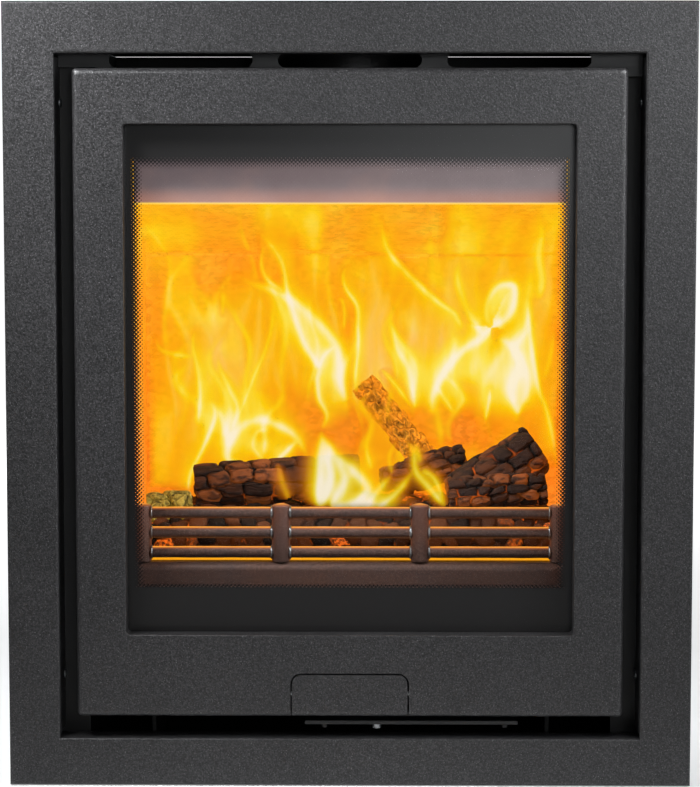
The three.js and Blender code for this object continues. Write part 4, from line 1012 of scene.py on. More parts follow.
def burnt_log(middle, direction, log_length, radius, seed, block=None):
    """A charred log: a round bar whose surface is cracked into blocks.

    A place is given by its way along and round the log. Its radius is the log's, less a sharp
    groove where two cells of a staggered, squarish lattice meet, plus a small step for each
    block and fine grain. Each end is a disc that is cracked and sunk in the same way.
    """
    block = block or sizes().block_size
    chance = np.random.default_rng(seed)
    steps = 190
    sides = 150
    cap = 16
    direction = np.asarray(direction, float) / np.linalg.norm(direction)
    side = np.cross(direction, (0, 0, 1))
    side /= np.linalg.norm(side)
    over = np.cross(side, direction)
    angle = np.linspace(0, 2 * math.pi, sides, endpoint=False)
    body = np.linspace(-log_length / 2, log_length / 2, steps)
    inward = np.linspace(0.06, 1, cap, endpoint=False)
    along = np.concatenate([np.full(cap, body[0]), body, np.full(cap, body[-1])])
    scale = np.concatenate([inward, np.ones(steps), inward[::-1]])
    fold = np.concatenate([
        body[0] - radius * (1 - inward),
        body,
        body[-1] + radius * (1 - inward[::-1]),
    ])
    flat_along, flat_round = np.meshgrid(fold, angle * radius, indexing="ij")
    places = np.stack([flat_along, flat_round], -1).reshape(-1, 2)
    places = places + 0.0016 * np.stack([
        waves(places[:, 0] * 170, places[:, 1] * 170, seed),
        waves(places[:, 0] * 170, places[:, 1] * 170, seed + 1),
    ], -1)
    around = 2 * math.pi * radius
    columns = max(3, round(around / (block * 0.72)))
    rows = max(2, round((log_length + 2 * radius) / block)) + 1
    seeds = []
    for column in range(columns):
        shift = (column % 2) * 0.5 + chance.uniform(-0.2, 0.2)
        for row in range(rows):
            seeds.append([
                fold[0] + (row + shift) * block + chance.uniform(-0.34, 0.34) * block,
                (column + 0.5 + chance.uniform(-0.30, 0.30)) * around / columns,
            ])
    seeds = np.array(seeds)
    wrapped = np.vstack([seeds, seeds + [0, around], seeds - [0, around]])
    aspect = np.array([0.72, 1.0])
    owner, _, border = nearest_cells(places * aspect, wrapped * aspect, power=5.0)
    owner = owner % len(seeds)
    crack = np.exp(-((border / 0.0013) ** 2))
    wide = np.exp(-((border / 0.0034) ** 2))
    tone_of = chance.uniform(0, 1, len(seeds))
    step = chance.uniform(-0.0011, 0.0011, len(seeds))
    tilt = chance.uniform(-0.05, 0.05, (len(seeds), 2))
    lean = ((places - seeds[owner]) * tilt[owner])
    lean[:, 1] = np.where(np.abs(lean[:, 1]) > 0.002, 0, lean[:, 1])
    fine = 0.0005 * waves(places[:, 0] * 240, places[:, 1] * 800, seed + 2)
    relief = step[owner] + lean.sum(1) + fine - 0.0030 * crack - 0.0010 * wide
    relief = relief.reshape(len(fold), sides)
    lobes = 1 + 0.07 * np.sin(2 * angle + seed) + 0.05 * np.sin(3 * angle + 2 * seed)
    bow = 1 - 0.10 * np.abs(2 * body / log_length) ** 8
    thick = np.concatenate([np.full(cap, bow[0]), bow, np.full(cap, bow[-1])])
    on_cap = np.concatenate([np.ones(cap), np.zeros(steps), np.ones(cap)])
    way_out = np.concatenate([-np.ones(cap), np.zeros(steps), np.ones(cap)])
    reach = (radius - 0.0015) * scale * thick
    reach = reach[:, None] * lobes[None] * (1 - 0.5 * (1 - scale[:, None]))
    reach = reach + relief * (1 - on_cap[:, None])
    axial = along[:, None] + (relief * (on_cap * way_out)[:, None])
    ring = np.cos(angle)[:, None] * side + np.sin(angle)[:, None] * over
    rings = middle + axial[..., None] * direction + reach[..., None] * ring[None]
    poles = [rings[0].mean(0)[None], rings[-1].mean(0)[None]]
    solid = closed_tube(rings, *poles)
    carried = {
        "crack": np.r_[crack, 0.0, 0.0],
        "block": np.r_[tone_of[owner], 0.5, 0.5],
    }
    return solid, carried


# Burning pieces between the logs: (x, depth behind the wall's face, z) of each end, radius and
# seed, in millimetres. The first leans at the back, the rest lie between and before the logs.
KINDLING = (
    ((8, 212, 286), (66, 206, 216), 14, 13),
    ((76, 84, 210), (152, 93, 214), 14, 17),
    ((24, 124, 217), (52, 130, 221), 12, 19),
    ((38, 150, 214), (92, 152, 230), 15, 29),
    ((-22, 126, 214), (4, 131, 217), 11, 23),
)


def kindling(rows):
    """Burnt sticks between two ends, joined into one piece."""
    wall = span("surround_frame")[0][1]
    solids = []
    carried = {"crack": [], "block": []}
    for start, end, radius, seed in rows:
        ends = np.array([start, end]) * MM + [0, wall, 0]
        along = ends[1] - ends[0]
        solid, marks = burnt_log(
            ends.mean(0), along, np.linalg.norm(along), radius * MM, seed, block=13 * MM,
        )
        solids.append(solid)
        for key, values in marks.items():
            carried[key].append(values)
    return joined(solids), {key: np.concatenate(values) for key, values in carried.items()}


def ember_surface():
    """A bed of coals: a low mound whose outline, carried across the grate, is covered in lumps.

    The outline goes up the front, over the top and down the back. Each place is pushed out
    along the mound's normal by a dome over the nearest coal's middle; a groove is left where
    two coals meet.
    """
    low, high = span("ember_bed")
    chance = np.random.default_rng(11)
    columns = 330
    rows = 150
    lump = sizes().coal_size
    across = np.linspace(low[0] + 0.003, high[0] - 0.003, columns)
    turn = np.linspace(0, math.pi, rows)
    half = (high[1] - low[1]) / 2 - 0.004
    tall = high[2] - low[2] - 0.010
    depth = -np.sign(np.cos(turn)) * np.abs(np.cos(turn)) ** 0.45 * half
    rise = np.abs(np.sin(turn)) ** 0.40 * tall
    travelled = np.r_[0, np.cumsum(np.hypot(np.diff(depth), np.diff(rise)))]
    even = np.linspace(0, travelled[-1], rows)
    depth = np.interp(even, travelled, depth)
    rise = np.interp(even, travelled, rise)
    sag = 1 - 0.22 * np.abs(2 * (across - low[0]) / (high[0] - low[0]) - 1) ** 5
    sag = sag * (1 + 0.07 * waves(across * 60, across * 0, 5))
    y = (low[1] + high[1]) / 2 + np.repeat(depth[:, None], columns, 1)
    z = low[2] + 0.001 + rise[:, None] * sag[None]
    x = np.repeat(across[None], rows, 0)
    surface = np.stack([x, y, z], -1)
    slope_u = np.gradient(surface, axis=1)
    slope_v = np.gradient(surface, axis=0)
    normal = np.cross(slope_u, slope_v)
    normal /= np.linalg.norm(normal, axis=-1)[..., None] + 1e-12
    seed_u, seed_v = np.meshgrid(
        np.arange(low[0], high[0], lump),
        np.arange(0, travelled[-1], lump * 0.9),
        indexing="ij",
    )
    seed_u = seed_u + lump * 0.5 * (np.arange(seed_u.shape[1]) % 2)[None]
    seed_u = seed_u + chance.uniform(-0.32, 0.32, seed_u.shape) * lump
    seed_v = seed_v + chance.uniform(-0.32, 0.32, seed_v.shape) * lump
    seeds = np.stack([seed_u.ravel(), seed_v.ravel()], -1)
    places = np.stack([x, np.repeat(even[:, None], columns, 1)], -1).reshape(-1, 2)
    wander = 0.0022 * np.stack([
        waves(places[:, 0] * 260, places[:, 1] * 260, 21),
        waves(places[:, 0] * 260, places[:, 1] * 260, 22),
    ], -1)
    owner, near, border = nearest_cells(places + wander, seeds, power=2.6)
    crack = np.exp(-((border / 0.0017) ** 2))
    dome = 0.0042 * np.sqrt(np.clip(1 - (near / (lump * 0.85)) ** 2, 0, 1))
    step = chance.uniform(-0.0020, 0.0026, len(seeds))[owner]
    fine = 0.0006 * waves(places[:, 0] * 900, places[:, 1] * 900, 23)
    relief = (dome + step + fine - 0.0022 * crack).reshape(rows, columns)
    edge = np.minimum(1, np.minimum(even, even[::-1]) / 0.006)
    surface = surface + normal * (relief * edge[:, None])[..., None]
    surface[..., 0] = np.clip(surface[..., 0], low[0], high[0])
    surface[..., 1] = np.clip(surface[..., 1], low[1] - 0.004, high[1])
    surface[..., 2] = np.clip(surface[..., 2], low[2], high[2] + 0.002)
    rings = surface.transpose(1, 0, 2)
    ends = [rings[0].mean(0)[None], rings[-1].mean(0)[None]]
    carried = {
        "crack": np.r_[crack.reshape(rows, columns).T.ravel(), 0, 0],
        "block": np.r_[chance.uniform(0, 1, len(seeds))[owner].reshape(rows, columns).T.ravel(), 0, 0],
    }
    return closed_tube(rings, *ends), carried


# ------------------------------------------------------------------ flames

def curve(points, count=60):
    """A smooth line through a few points, by Catmull and Rom's weights."""
    points = np.asarray(points, float) * MM
    points = np.vstack([2 * points[0] - points[1], points, 2 * points[-1] - points[-2]])
    place = np.linspace(0, len(points) - 3 - 1e-9, count)
    index = place.astype(int)
    u = (place - index)[:, None]
    a, b, c, d = (points[index + k] for k in range(4))
    square = 2 * a - 5 * b + 4 * c - d
    cube = 3 * b - a - 3 * c + d
    return 0.5 * (2 * b + (c - a) * u + square * u ** 2 + cube * u ** 3)


def thread_heat(x, z, width, heat, side, points, glow=3.2):
    """Heat of one thread of flame, which follows a curve from its root to its tip.

    Across the curve the heat is a bright core on a softer glow, which reaches further on one
    side. Along it the thread swells from its root, then thins and fades to its tip.
    """
    path = curve(points)
    ahead = np.gradient(path, axis=0)
    ahead /= np.linalg.norm(ahead, axis=1)[:, None]
    step = np.linalg.norm(np.diff(path, axis=0), axis=1).mean()
    dx = x[..., None] - path[:, 0]
    dz = z[..., None] - path[:, 1]
    nearest = (dx ** 2 + dz ** 2).argmin(-1)[..., None]
    dx = np.take_along_axis(dx, nearest, -1)[..., 0]
    dz = np.take_along_axis(dz, nearest, -1)[..., 0]
    nearest = nearest[..., 0]
    off = dx * ahead[nearest, 1] - dz * ahead[nearest, 0]
    along = dx * ahead[nearest, 0] + dz * ahead[nearest, 1]
    away = np.hypot(off, np.maximum(0, np.abs(along) - step)) / MM
    travelled = np.clip((nearest + along / step) / (len(path) - 1), 0, 1)
    half = width * (0.28 + 0.90 * np.sin(math.pi * (0.15 + 0.80 * travelled)) ** 0.8)
    reach = np.where(off * side > 0, glow, 0.9) if side else 1.3
    core = np.exp(-((away / (half * 0.5)) ** 2))
    across = 0.42 * core + 0.50 * np.exp(-((away / (half * reach)) ** 1.3))
    fade = np.clip(travelled / 0.15, 0, 1) ** 0.5 * np.clip((1 - travelled) / 0.35, 0, 1) ** 0.8
    return heat * across * fade


def tongues(count, seed, reach, heat):
    """Threads of flame side by side: each sways twice on its way up and leans to one side."""
    chance = np.random.default_rng(seed)
    rows = []
    for number in range(count):
        foot = -158 + 316 * (number + chance.uniform(0.1, 0.9)) / count
        root = chance.uniform(225, 285)
        tall = chance.uniform(*reach)
        lean = chance.uniform(-16, 16)
        sway = chance.uniform(4, 11)
        phase = chance.uniform(0, 2 * math.pi)
        rise = np.linspace(0, 1, 8)
        x = foot + lean * rise ** 1.5 + sway * np.sin(phase + 2 * math.pi * rise * 1.3) * (0.3 + rise)
        z = np.minimum(root + tall * rise, 432)
        side = chance.choice((-1, 1))
        width = chance.uniform(2.5, 6.0)
        warmth = heat * chance.uniform(0.6, 1.2)
        rows.append((width, warmth, side, np.stack([x, z], -1)))
    return rows


def veil_heat(x, z, middle_x, middle_z, wide, tall, heat, seed):
    """Heat of a broad soft patch with a wavering edge, or of a gap where heat is below zero."""
    u = x / MM
    v = z / MM
    ragged = (u - middle_x) / wide + 0.30 * waves(u / 16, v / 30, seed)
    uneven = (v - middle_z) / tall + 0.22 * waves(u / 24, v / 30, seed + 9)
    inside = np.clip(1 - np.hypot(ragged, uneven), 0, 1)
    return heat * inside ** 2 * (3 - 2 * inside)


def under_baffle(z):
    """How far back the space under the sloping baffle reaches at a height."""
    low, high = span("baffle")
    points = node_points("baffle")[0]
    front = points[points[:, 1] < low[1] + 2 * MM][:, 2].min()
    return low[1] + (front - z) / (front - low[2]) * (high[1] - low[1])


def flame_sheet(depth, threads, veils, seed, wander, most, body=0.0, gain=2.6, glow=3.2):
    """One sheet of flames: a closed lens that bends forward under the baffle.

    Heat is summed on a grid from a constant body, veils and threads. The places where they
    are read wander by a few millimetres, so that edges waver, and upright licks of noise
    brighten and dim them. Cover rises with heat and never reaches one. Squares with any cover
    are kept; front and back stand off the sheet by a share of the cover and meet at the rim.
    """
    low = span("ember_bed")[1][2] - 6 * MM
    high = span("airwash_deflector")[0][2] + 8 * MM
    side = span("brick_right")[0][0] - 1.5 * MM
    columns = 232
    rows = 190
    x, z = np.meshgrid(np.linspace(-side, side, columns), np.linspace(low, high, rows))
    read_x = x + wander * MM * waves(x / MM / 26, z / MM / 40, seed)
    read_z = z + wander * MM * 0.6 * waves(x / MM / 30, z / MM / 34, seed + 1)
    heat = body * np.clip((430 - z / MM) / 40, 0.25, 1)
    for number, veil in enumerate(veils):
        heat = heat + veil_heat(read_x, read_z, *veil, seed + number)
    for thread in threads:
        heat = heat + thread_heat(read_x, read_z, *thread, glow=glow)
    lick = 1 - 1.6 * np.abs(waves(read_x / MM / 9, read_z / MM / 34, seed + 50, 5))
    heat = np.clip(heat, 0, None) * (1 + 0.4 * lick) - 0.02
    heat = most * (1 - np.exp(-np.clip(heat, 0, None) / most * 1.25))
    cover = 1 - np.exp(-gain * heat)
    gap = np.minimum(side - np.abs(x), z - low)
    cover = cover * np.clip(gap / (8 * MM), 0, 1)
    solid = cover > 0.015
    squares = solid[:-1, :-1] & solid[1:, :-1] & solid[:-1, 1:] & solid[1:, 1:]
    faces = grid_faces(rows, columns)[squares.ravel()]
    rim = np.zeros(rows * columns, int)
    np.add.at(rim, faces.ravel(), 1)
    rim = (rim > 0) & (rim < 4)
    bend = 10 * MM
    room = np.maximum(under_baffle(z) - 26 * MM, span("guard_base")[1][1])
    sheet = -bend * np.log(np.exp(depth / -bend) + np.exp(room / -bend))
    swell = np.where(rim.reshape(rows, columns), 0.0, 6 * MM * np.sqrt(cover))
    front = np.stack([x, sheet - swell, z], -1).reshape(-1, 3)
    back = np.stack([x, sheet + swell, z], -1).reshape(-1, 3)
    partner = np.arange(rows * columns) + rows * columns
    partner[rim] = np.flatnonzero(rim)
    both = np.vstack([faces, partner[faces][:, ::-1]])
    used, both = np.unique(both, return_inverse=True)
    once = 1 - np.sqrt(1 - np.clip(cover, 0, 1))
    carried = {
        "warmth": np.tile(heat.ravel(), 2)[used],
        "cover": np.tile(once.ravel(), 2)[used],
    }
    return (np.vstack([front, back])[used], [both.reshape(-1, 4)]), carried


# Threads: width in millimetres, heat, softer side (1 or -1, 0 for neither), then places (x, z)
# from the root to the tip. Veils: middle x and z, half width, half height, heat.
MIDDLE_THREADS = (
    (6.5, 0.8, -1, (
        (-5, 273), (-10, 290), (-10, 304), (-15, 321), (-28, 337), (-45, 352), (-65, 363),
        (-83, 369), (-99, 379),
    )),
    (4.0, 0.8, 1, (
        (-25, 249), (-21, 261), (-27, 275), (-29, 290), (-28, 301), (-38, 318), (-46, 341),
        (-52, 362), (-56, 383), (-65, 400), (-75, 412),
    )),
    (3.0, 0.55, 0, (
        (-28, 300), (-23, 310), (-14, 318),
    )),
    (2.2, 0.55, 0, (
        (-56, 363), (-69, 372), (-74, 385), (-72, 400),
    )),
    (4.5, 0.8, -1, (
        (90, 331), (84, 343), (70, 354), (55, 367), (41, 381), (30, 395), (25, 412),
        (24, 428),
    )),
    (3.0, 0.75, 1, (
        (3, 280), (3, 294), (5, 313), (5, 331), (4, 350), (-5, 365), (-6, 378),
        (1, 385),
    )),
    (2.0, 0.45, 0, (
        (-7, 331), (-6, 343), (-8, 355), (-14, 354),
    )),
    (4.5, 0.65, 1, (
        (51, 267), (50, 283), (46, 301), (37, 318), (34, 337),
    )),
    (5.5, 0.95, -1, (
        (65, 262), (66, 278), (76, 298), (90, 314), (106, 324), (116, 334), (126, 340),
        (133, 354), (132, 366), (120, 366), (111, 355), (110, 341), (117, 329),
    )),
    (6.0, 0.85, 1, (
        (108, 326), (96, 342), (89, 358), (85, 375), (88, 393),
    )),
    (6.0, 0.95, 1, (
        (135, 262), (130, 283), (137, 304), (130, 318), (119, 324),
    )),
    (2.5, 0.5, 0, (
        (82, 263), (73, 278), (68, 286),
    )),
    (2.0, 0.6, 0, (
        (108, 255), (111, 272), (112, 283),
    )),
    (7.0, 0.5, 0, (
        (130, 313), (142, 332), (144, 355), (146, 381),
    )),
    (3.6, 0.85, -1, (
        (168, 217), (165, 240), (159, 265), (152, 286), (147, 313), (144, 340), (143, 358),
    )),
    (6.0, 0.62, -1, (
        (153, 355), (155, 372), (152, 390), (151, 412), (143, 433),
    )),
    (2.5, 0.3, 0, (
        (157, 290), (163, 314), (166, 339),
    )),
    (3.0, 0.85, -1, (
        (-134, 187), (-132, 212), (-121, 236), (-113, 260), (-117, 273),
    )),
    (2.4, 0.5, 1, (
        (-126, 253), (-125, 277), (-127, 300), (-130, 318), (-128, 336),
    )),
    (2.8, 0.55, 1, (
        (-99, 250), (-95, 267), (-102, 283), (-109, 300), (-111, 314),
    )),
    (1.8, 0.42, 0, (
        (-97, 253), (-84, 286), (-72, 314), (-66, 335), (-64, 357),
    )),
    (3.0, 0.4, 0, (
        (-130, 309), (-143, 311), (-157, 316), (-162, 331),
    )),
    (2.0, 0.4, 0, (
        (-106, 341), (-106, 355), (-107, 365),
    )),
    (6.0, 0.9, -1, (
        (-87, 217), (-102, 224), (-101, 239), (-91, 252), (-77, 257), (-63, 253), (-48, 244),
        (-39, 230), (-37, 217),
    )),
    (3.5, 0.75, 0, (
        (-66, 217), (-55, 230), (-45, 240),
    )),
    (3.0, 0.5, 0, (
        (-74, 224), (-82, 235), (-79, 247), (-68, 249),
    )),
    (4.0, 0.45, 0, (
        (-102, 235), (-107, 257), (-115, 272),
    )),
)
FRONT_THREADS = (
    (5.5, 1.0, -1, (
        (-25, 200), (-24, 222), (-23, 241), (-23, 262),
    )),
    (6.0, 0.95, -1, (
        (-23, 200), (-16, 223), (-19, 241), (-23, 261),
    )),
    (6.5, 0.85, 1, (
        (-16, 200), (-5, 223), (-15, 244), (-22, 256),
    )),
    (6.0, 0.8, 1, (
        (1, 200), (13, 215), (1, 230), (-12, 241),
    )),
    (4.0, 0.75, 0, (
        (12, 201), (21, 214), (32, 226),
    )),
    (4.0, 0.8, -1, (
        (21, 200), (37, 214), (48, 229),
    )),
    (4.5, 0.75, 1, (
        (74, 200), (62, 214), (50, 229), (48, 244), (41, 255),
    )),
    (2.5, 0.4, 0, (
        (32, 226), (30, 241), (37, 255),
    )),
    (3.5, 0.45, 0, (
        (16, 230), (12, 248), (16, 266), (12, 280),
    )),
    (2.5, 0.4, 0, (
        (54, 236), (49, 253),
    )),
    (3.0, 0.6, 0, (
        (55, 230), (65, 222), (73, 203),
    )),
    (2.6, 1.0, 0, (
        (23, 309), (35, 295), (48, 277),
    )),
    (4.0, 0.35, 0, (
        (-48, 206), (-53, 220), (-57, 236),
    )),
    (5.0, 0.85, 0, (
        (-16, 200), (7, 203), (38, 201),
    )),
)
# The line where the baffle meets the rear bricks shows through the rear flames.
BAFFLE_SEAM = ((1.6, -0.6, 0, ((-240, 393), (-80, 393), (80, 393), (240, 393))),)
REAR_VEILS = (
    (-105, 280, 66, 85, 0.5),
    (-155, 230, 44, 90, 0.3),
    (-148, 418, 60, 36, 0.36),
    (-56, 426, 40, 34, 0.62),
    (-32, 405, 16, 50, 0.36),
    (-43, 317, 54, 56, 0.24),
    (27, 325, 52, 90, 0.44),
    (0, 372, 20, 26, 0.36),
    (72, 317, 66, 76, 0.36),
    (85, 410, 26, 64, 0.5),
    (122, 412, 70, 34, 0.34),
    (121, 375, 56, 44, 0.4),
    (113, 284, 56, 66, 0.4),
    (155, 387, 24, 115, 0.34),
    (165, 271, 24, 105, 0.34),
    (39, 226, 60, 36, 0.34),
    (27, 421, 36, 34, 0.18),
    (-13, 421, 44, 20, 0.16),
    (-113, 333, 46, 18, 0.26),
    (-9, 386, 13, 56, -0.36),
    (35, 362, 17, 30, -0.46),
    (65, 415, 20, 20, -0.46),
    (-84, 382, 54, 34, -0.34),
    (-149, 333, 40, 34, -0.2),
    (-19, 251, 42, 46, -0.75),
    (76, 251, 62, 32, -0.75),
    (0, 336, 10, 18, -0.55),
    (126, 329, 10, 14, -0.45),
    (-55, 271, 34, 28, -0.34),
    (168, 205, 26, 46, -0.5),
    (-134, 366, 52, 30, -0.26),
    (-66, 386, 14, 24, -0.3),
)
MIDDLE_VEILS = (
    (103, 302, 40, 48, 0.26),
    (-61, 398, 20, 44, 0.34),
    (-41, 334, 24, 54, 0.2),
    (77, 405, 14, 44, 0.3),
    (93, 293, 40, 44, 0.4),
    (127, 283, 22, 50, 0.42),
    (122, 354, 18, 22, 0.3),
    (-72, 239, 42, 30, 0.42),
    (-95, 240, 18, 28, 0.4),
    (-8, 286, 12, 40, 0.26),
    (96, 285, 15, 14, -0.3),
    (-77, 244, 10, 9, -0.25),
)
FRONT_VEILS = (
    (-12, 214, 24, 22, 0.22),
    (26, 206, 34, 10, 0.2),
    (16, 236, 20, 30, 0.12),
)


# ------------------------------------------------------------------ casing rivets

def rivets():
    """Domed rivet heads: two columns down each side of the casing and a row along its top."""
    size = sizes()
    flatness = 0.42
    end_margin = 20 * MM
    front_margin = 12 * MM
    back_margin = 10 * MM
    top_margin = 8 * MM
    dome = arc((0, 0), 1.0, 0, 90, 7)
    profile = np.vstack([[[0, -0.2]], [[1.0, -0.2]], dome[:-1], [[0, 1.0]]])
    profile = profile * [size.rivet_head, size.rivet_head * flatness]
    right_low, right_high = span("casing_right")
    back_low, back_high = span("casing_back")
    top_low = span("casing_top")[0]
    flange = top_low[1]
    sheet = back_high[1] - back_low[1]

    def even(low, high):
        """Places along a seam, no further apart than the pitch."""
        return np.linspace(low + end_margin, high - end_margin, math.ceil((high - low) / size.rivet_pitch))

    for way in (-1, 1):
        for y in (flange + front_margin, right_high[1] - back_margin):
            for z in even(right_low[2], right_high[2]):
                yield turned(profile, np.array([way * back_high[0], y, z]), (way, 0, 0), 20)
    for x in even(back_low[0], back_high[0]):
        place = np.array([x, right_high[1] - top_margin, top_low[2] + sheet])
        yield turned(profile, place, (0, 0, 1), 20)


def flue_parts():
    """The flue's collar and its flange, as smooth turned tubes."""
    low, high = span("flue_collar")
    middle = np.array([(low[0] + high[0]) / 2, (low[1] + high[1]) / 2, low[2]])
    outer = (high[0] - low[0]) / 2
    wall = 0.003
    tall = high[2] - low[2]
    angle = np.linspace(0, 2 * math.pi, 96, endpoint=False)
    ring = np.stack([np.cos(angle), np.sin(angle), np.zeros_like(angle)], -1)

    def tube(profile):
        profile = np.asarray(profile)
        upright = profile[:, 1, None, None] * np.array([0, 0, 1.0])
        rings = middle + profile[:, None, :1] * ring[None] + upright
        return rings.reshape(-1, 3), [grid_faces(len(profile), len(angle), True, True)]

    lip = arc((outer - wall / 2, tall - wall / 2), wall / 2, 0, 180, 9)
    collar = np.vstack([[[outer, 0.0]], lip, [[outer - wall, 0.0]]])
    flange_low, flange_high = span("flue_flange")
    reach = (flange_high[0] - flange_low[0]) / 2
    thick = flange_high[2] - flange_low[2]
    flange = np.vstack([
        [[outer + 0.0003, 0.0]],
        [[reach, 0.0]],
        arc((reach - 0.0008, thick - 0.0008), 0.0008, 0, 90, 5),
        arc((outer + 0.0011, thick - 0.0008), 0.0008, 90, 180, 5),
    ])
    return tube(collar), tube(flange)


# ------------------------------------------------------------------ operators

class STOVE_OT_stage(bpy.types.Operator):
    """Make the pale floor, the soft lamps and the camera on the photograph's line of sight"""

    bl_idname = "stove.stage"
    bl_label = "Stage and camera"

    def execute(self, context):
        studio = context.scene.stove_studio
        self.floor()
        self.lamps(studio)
        self.camera(studio)
        self.world(studio)
        context.scene.view_settings.view_transform = "Standard"
        return {"FINISHED"}

    def floor(self):
        """A pale floor whose far edge sweeps up into a backdrop: a flat, a quarter round, a wall.

        Seen directly, in a reflection or through glass it looks paler than it is lit: a little
        in front of the stove, and white far behind it.
        """
        far = 7.0
        bend = 1.5
        round_up = arc((far - bend, bend), bend, -90, 0, 16)
        line = np.vstack([[[-far, 0.0]], round_up, [[far, 6.0]]])
        x = np.linspace(-far, far, 2)
        points = np.array([[u, y, z - 0.0006] for y, z in line for u in x])
        mesh = bpy.data.meshes.new("floor")
        mesh.from_pydata(points.tolist(), [], grid_faces(len(line), 2).tolist())
        mesh.flip_normals()
        mesh.shade_smooth()
        finish = Finish("floor", roughness=0.85, specular_ior_level=0.2)
        cloud = finish.noise(3, 2.0)
        dull = (0.78, 0.78, 0.78)
        clean = (0.82, 0.82, 0.82)
        finish.set("Base Color", finish.ramp(cloud, (0.3, dull), (0.7, clean)))
        ray = finish.node("LightPath").outputs
        seen = finish.maths("MAXIMUM", ray["Is Glossy Ray"], ray["Is Transmission Ray"])
        seen = finish.maths("MAXIMUM", seen, ray["Is Camera Ray"])
        pale = finish.ranged(finish.axis("Y"), 0.1, 2.0, 0.25, 1.0)
        finish.set("Emission Color", (1.0, 1.0, 1.0))
        finish.set("Emission Strength", finish.maths("MULTIPLY", seen, pale))
        mesh.materials.append(finish.material)
        floor = bpy.data.objects.new("floor", mesh)
        bpy.context.scene.collection.objects.link(floor)

    def lamps(self, studio):
        """Soft lamps: over the front corners, beside, behind the camera and behind the stove."""
        face = CAD_BOX[0][1]
        right_top = studio.top_lamp * 0.55
        right_side = studio.side_lamp * 4.0
        # Name, place, aim, size, power in watts, spread in degrees.
        rows = (
            ("top_left", (-0.45, -0.40, 0.80), (-0.18, face, 0.45), (0.3, 0.2), studio.top_lamp, 84),
            ("top_right", (0.46, -0.40, 0.80), (0.18, face, 0.45), (0.3, 0.2), right_top, 84),
            ("side_left", (-1.30, -0.60, 0.80), (0, face, 0.45), (0.2, 0.9), studio.side_lamp, 80),
            ("side_right", (1.15, -0.60, 0.75), (0, face, 0.40), (0.3, 0.9), right_side, 80),
            ("front", (0.66, -3.00, 0.76), (0.1, face, 0.56), (1.35, 0.68), studio.front_lamp, 30),
            ("back", (-0.9, 2.6, 1.6), (0, 0.14, 0.3), (1.6, 1.2), studio.back_lamp, 120),
        )
        for name, place, aim, size, power, spread in rows:
            data = bpy.data.lights.new(name, "AREA")
            data.shape = "RECTANGLE"
            data.size, data.size_y = size
            data.energy = power
            data.spread = math.radians(spread)
            data.color = (0.96, 0.98, 1.0)
            lamp = bpy.data.objects.new(name, data)
            bpy.context.scene.collection.objects.link(lamp)
            lamp.location = place
            lamp.rotation_euler = (Vector(aim) - Vector(place)).to_track_quat("-Z", "Y").to_euler()

    def camera(self, studio):
        data = bpy.data.cameras.new("camera")
        data.lens = studio.camera_lens
        data.sensor_width = 36.0
        camera = bpy.data.objects.new("camera", data)
        bpy.context.scene.collection.objects.link(camera)
        camera.location = studio.camera_place
        camera.rotation_euler = (
            math.radians(90 - studio.camera_down),
            0.0,
            math.radians(studio.camera_left),
        )
        bpy.context.scene.camera = camera

    def world(self, studio):
        world = bpy.data.worlds.new("studio")
        world.use_nodes = True
        background = world.node_tree.nodes["Background"]
        background.inputs["Color"].default_value = (0.93, 0.94, 0.95, 1.0)
        background.inputs["Strength"].default_value = studio.world
        bpy.context.scene.world = world


class STOVE_OT_metalwork(bpy.types.Operator):
    """Dress the surround, door, casing and the other sheet metal"""

    bl_idname = "stove.metalwork"
    bl_label = "Surround, door and casing"

    def execute(self, context):
        for node, slot in SLOT_OF.items():
            part = frame["nodes"][node]
            part.data.materials.clear()
            part.data.materials.append(finish_of(slot))
        dress_all(("surround_frame", "door_frame", "handle_flap"), roll=0.0005, segments=3)
        dress_all((
            "convection_outlet_strip", "air_slider", "door_liner", "glass_retainer",
            "glass_gasket", "firebox_front", "casing_left",
            "casing_right", "casing_back", "casing_top", "casing_base", "ash_pan",
        ))
        dressed("airwash_deflector", finish_of("deflector"))
        piece_from("casing_rivets", joined(rivets()), finish_of("bolt_steel"), "root")
        return {"FINISHED"}


class STOVE_OT_hardware(bpy.types.Operator):
    """Dress the hinges, latch, screws, feet and knob, and make the rope seal"""

    bl_idname = "stove.hardware"
    bl_label = "Hinges, latch and seal"

    def execute(self, context):
        nodes = [node for node, slot in SLOT_OF.items() if slot == "bolt_steel"]
        dress_all(nodes, roll=0.0003)
        rope = finish_of("rope_fibre")
        piece_from("rope_seal", rope_seal(), rope, "door", ("door_seal",))
        return {"FINISHED"}


class STOVE_OT_lining(bpy.types.Operator):
    """Dress the bricks, baffle, hearth plate and grate, and make the flue"""

    bl_idname = "stove.lining"
    bl_label = "Lining and flue"

    def execute(self, context):
        dress_all((
            "brick_left", "brick_right", "brick_rear_lower", "brick_rear_upper", "baffle",
        ), roll=0.0012)
        dress_all(("hearth_plate", "grate"), roll=0.0008)
        collar, flange = flue_parts()
        piece_from("flue_tube", collar, finish_of("cast_iron"), "root", ("flue_collar",))
        piece_from("flue_ring", flange, finish_of("cast_iron"), "root", ("flue_flange",))
        return {"FINISHED"}


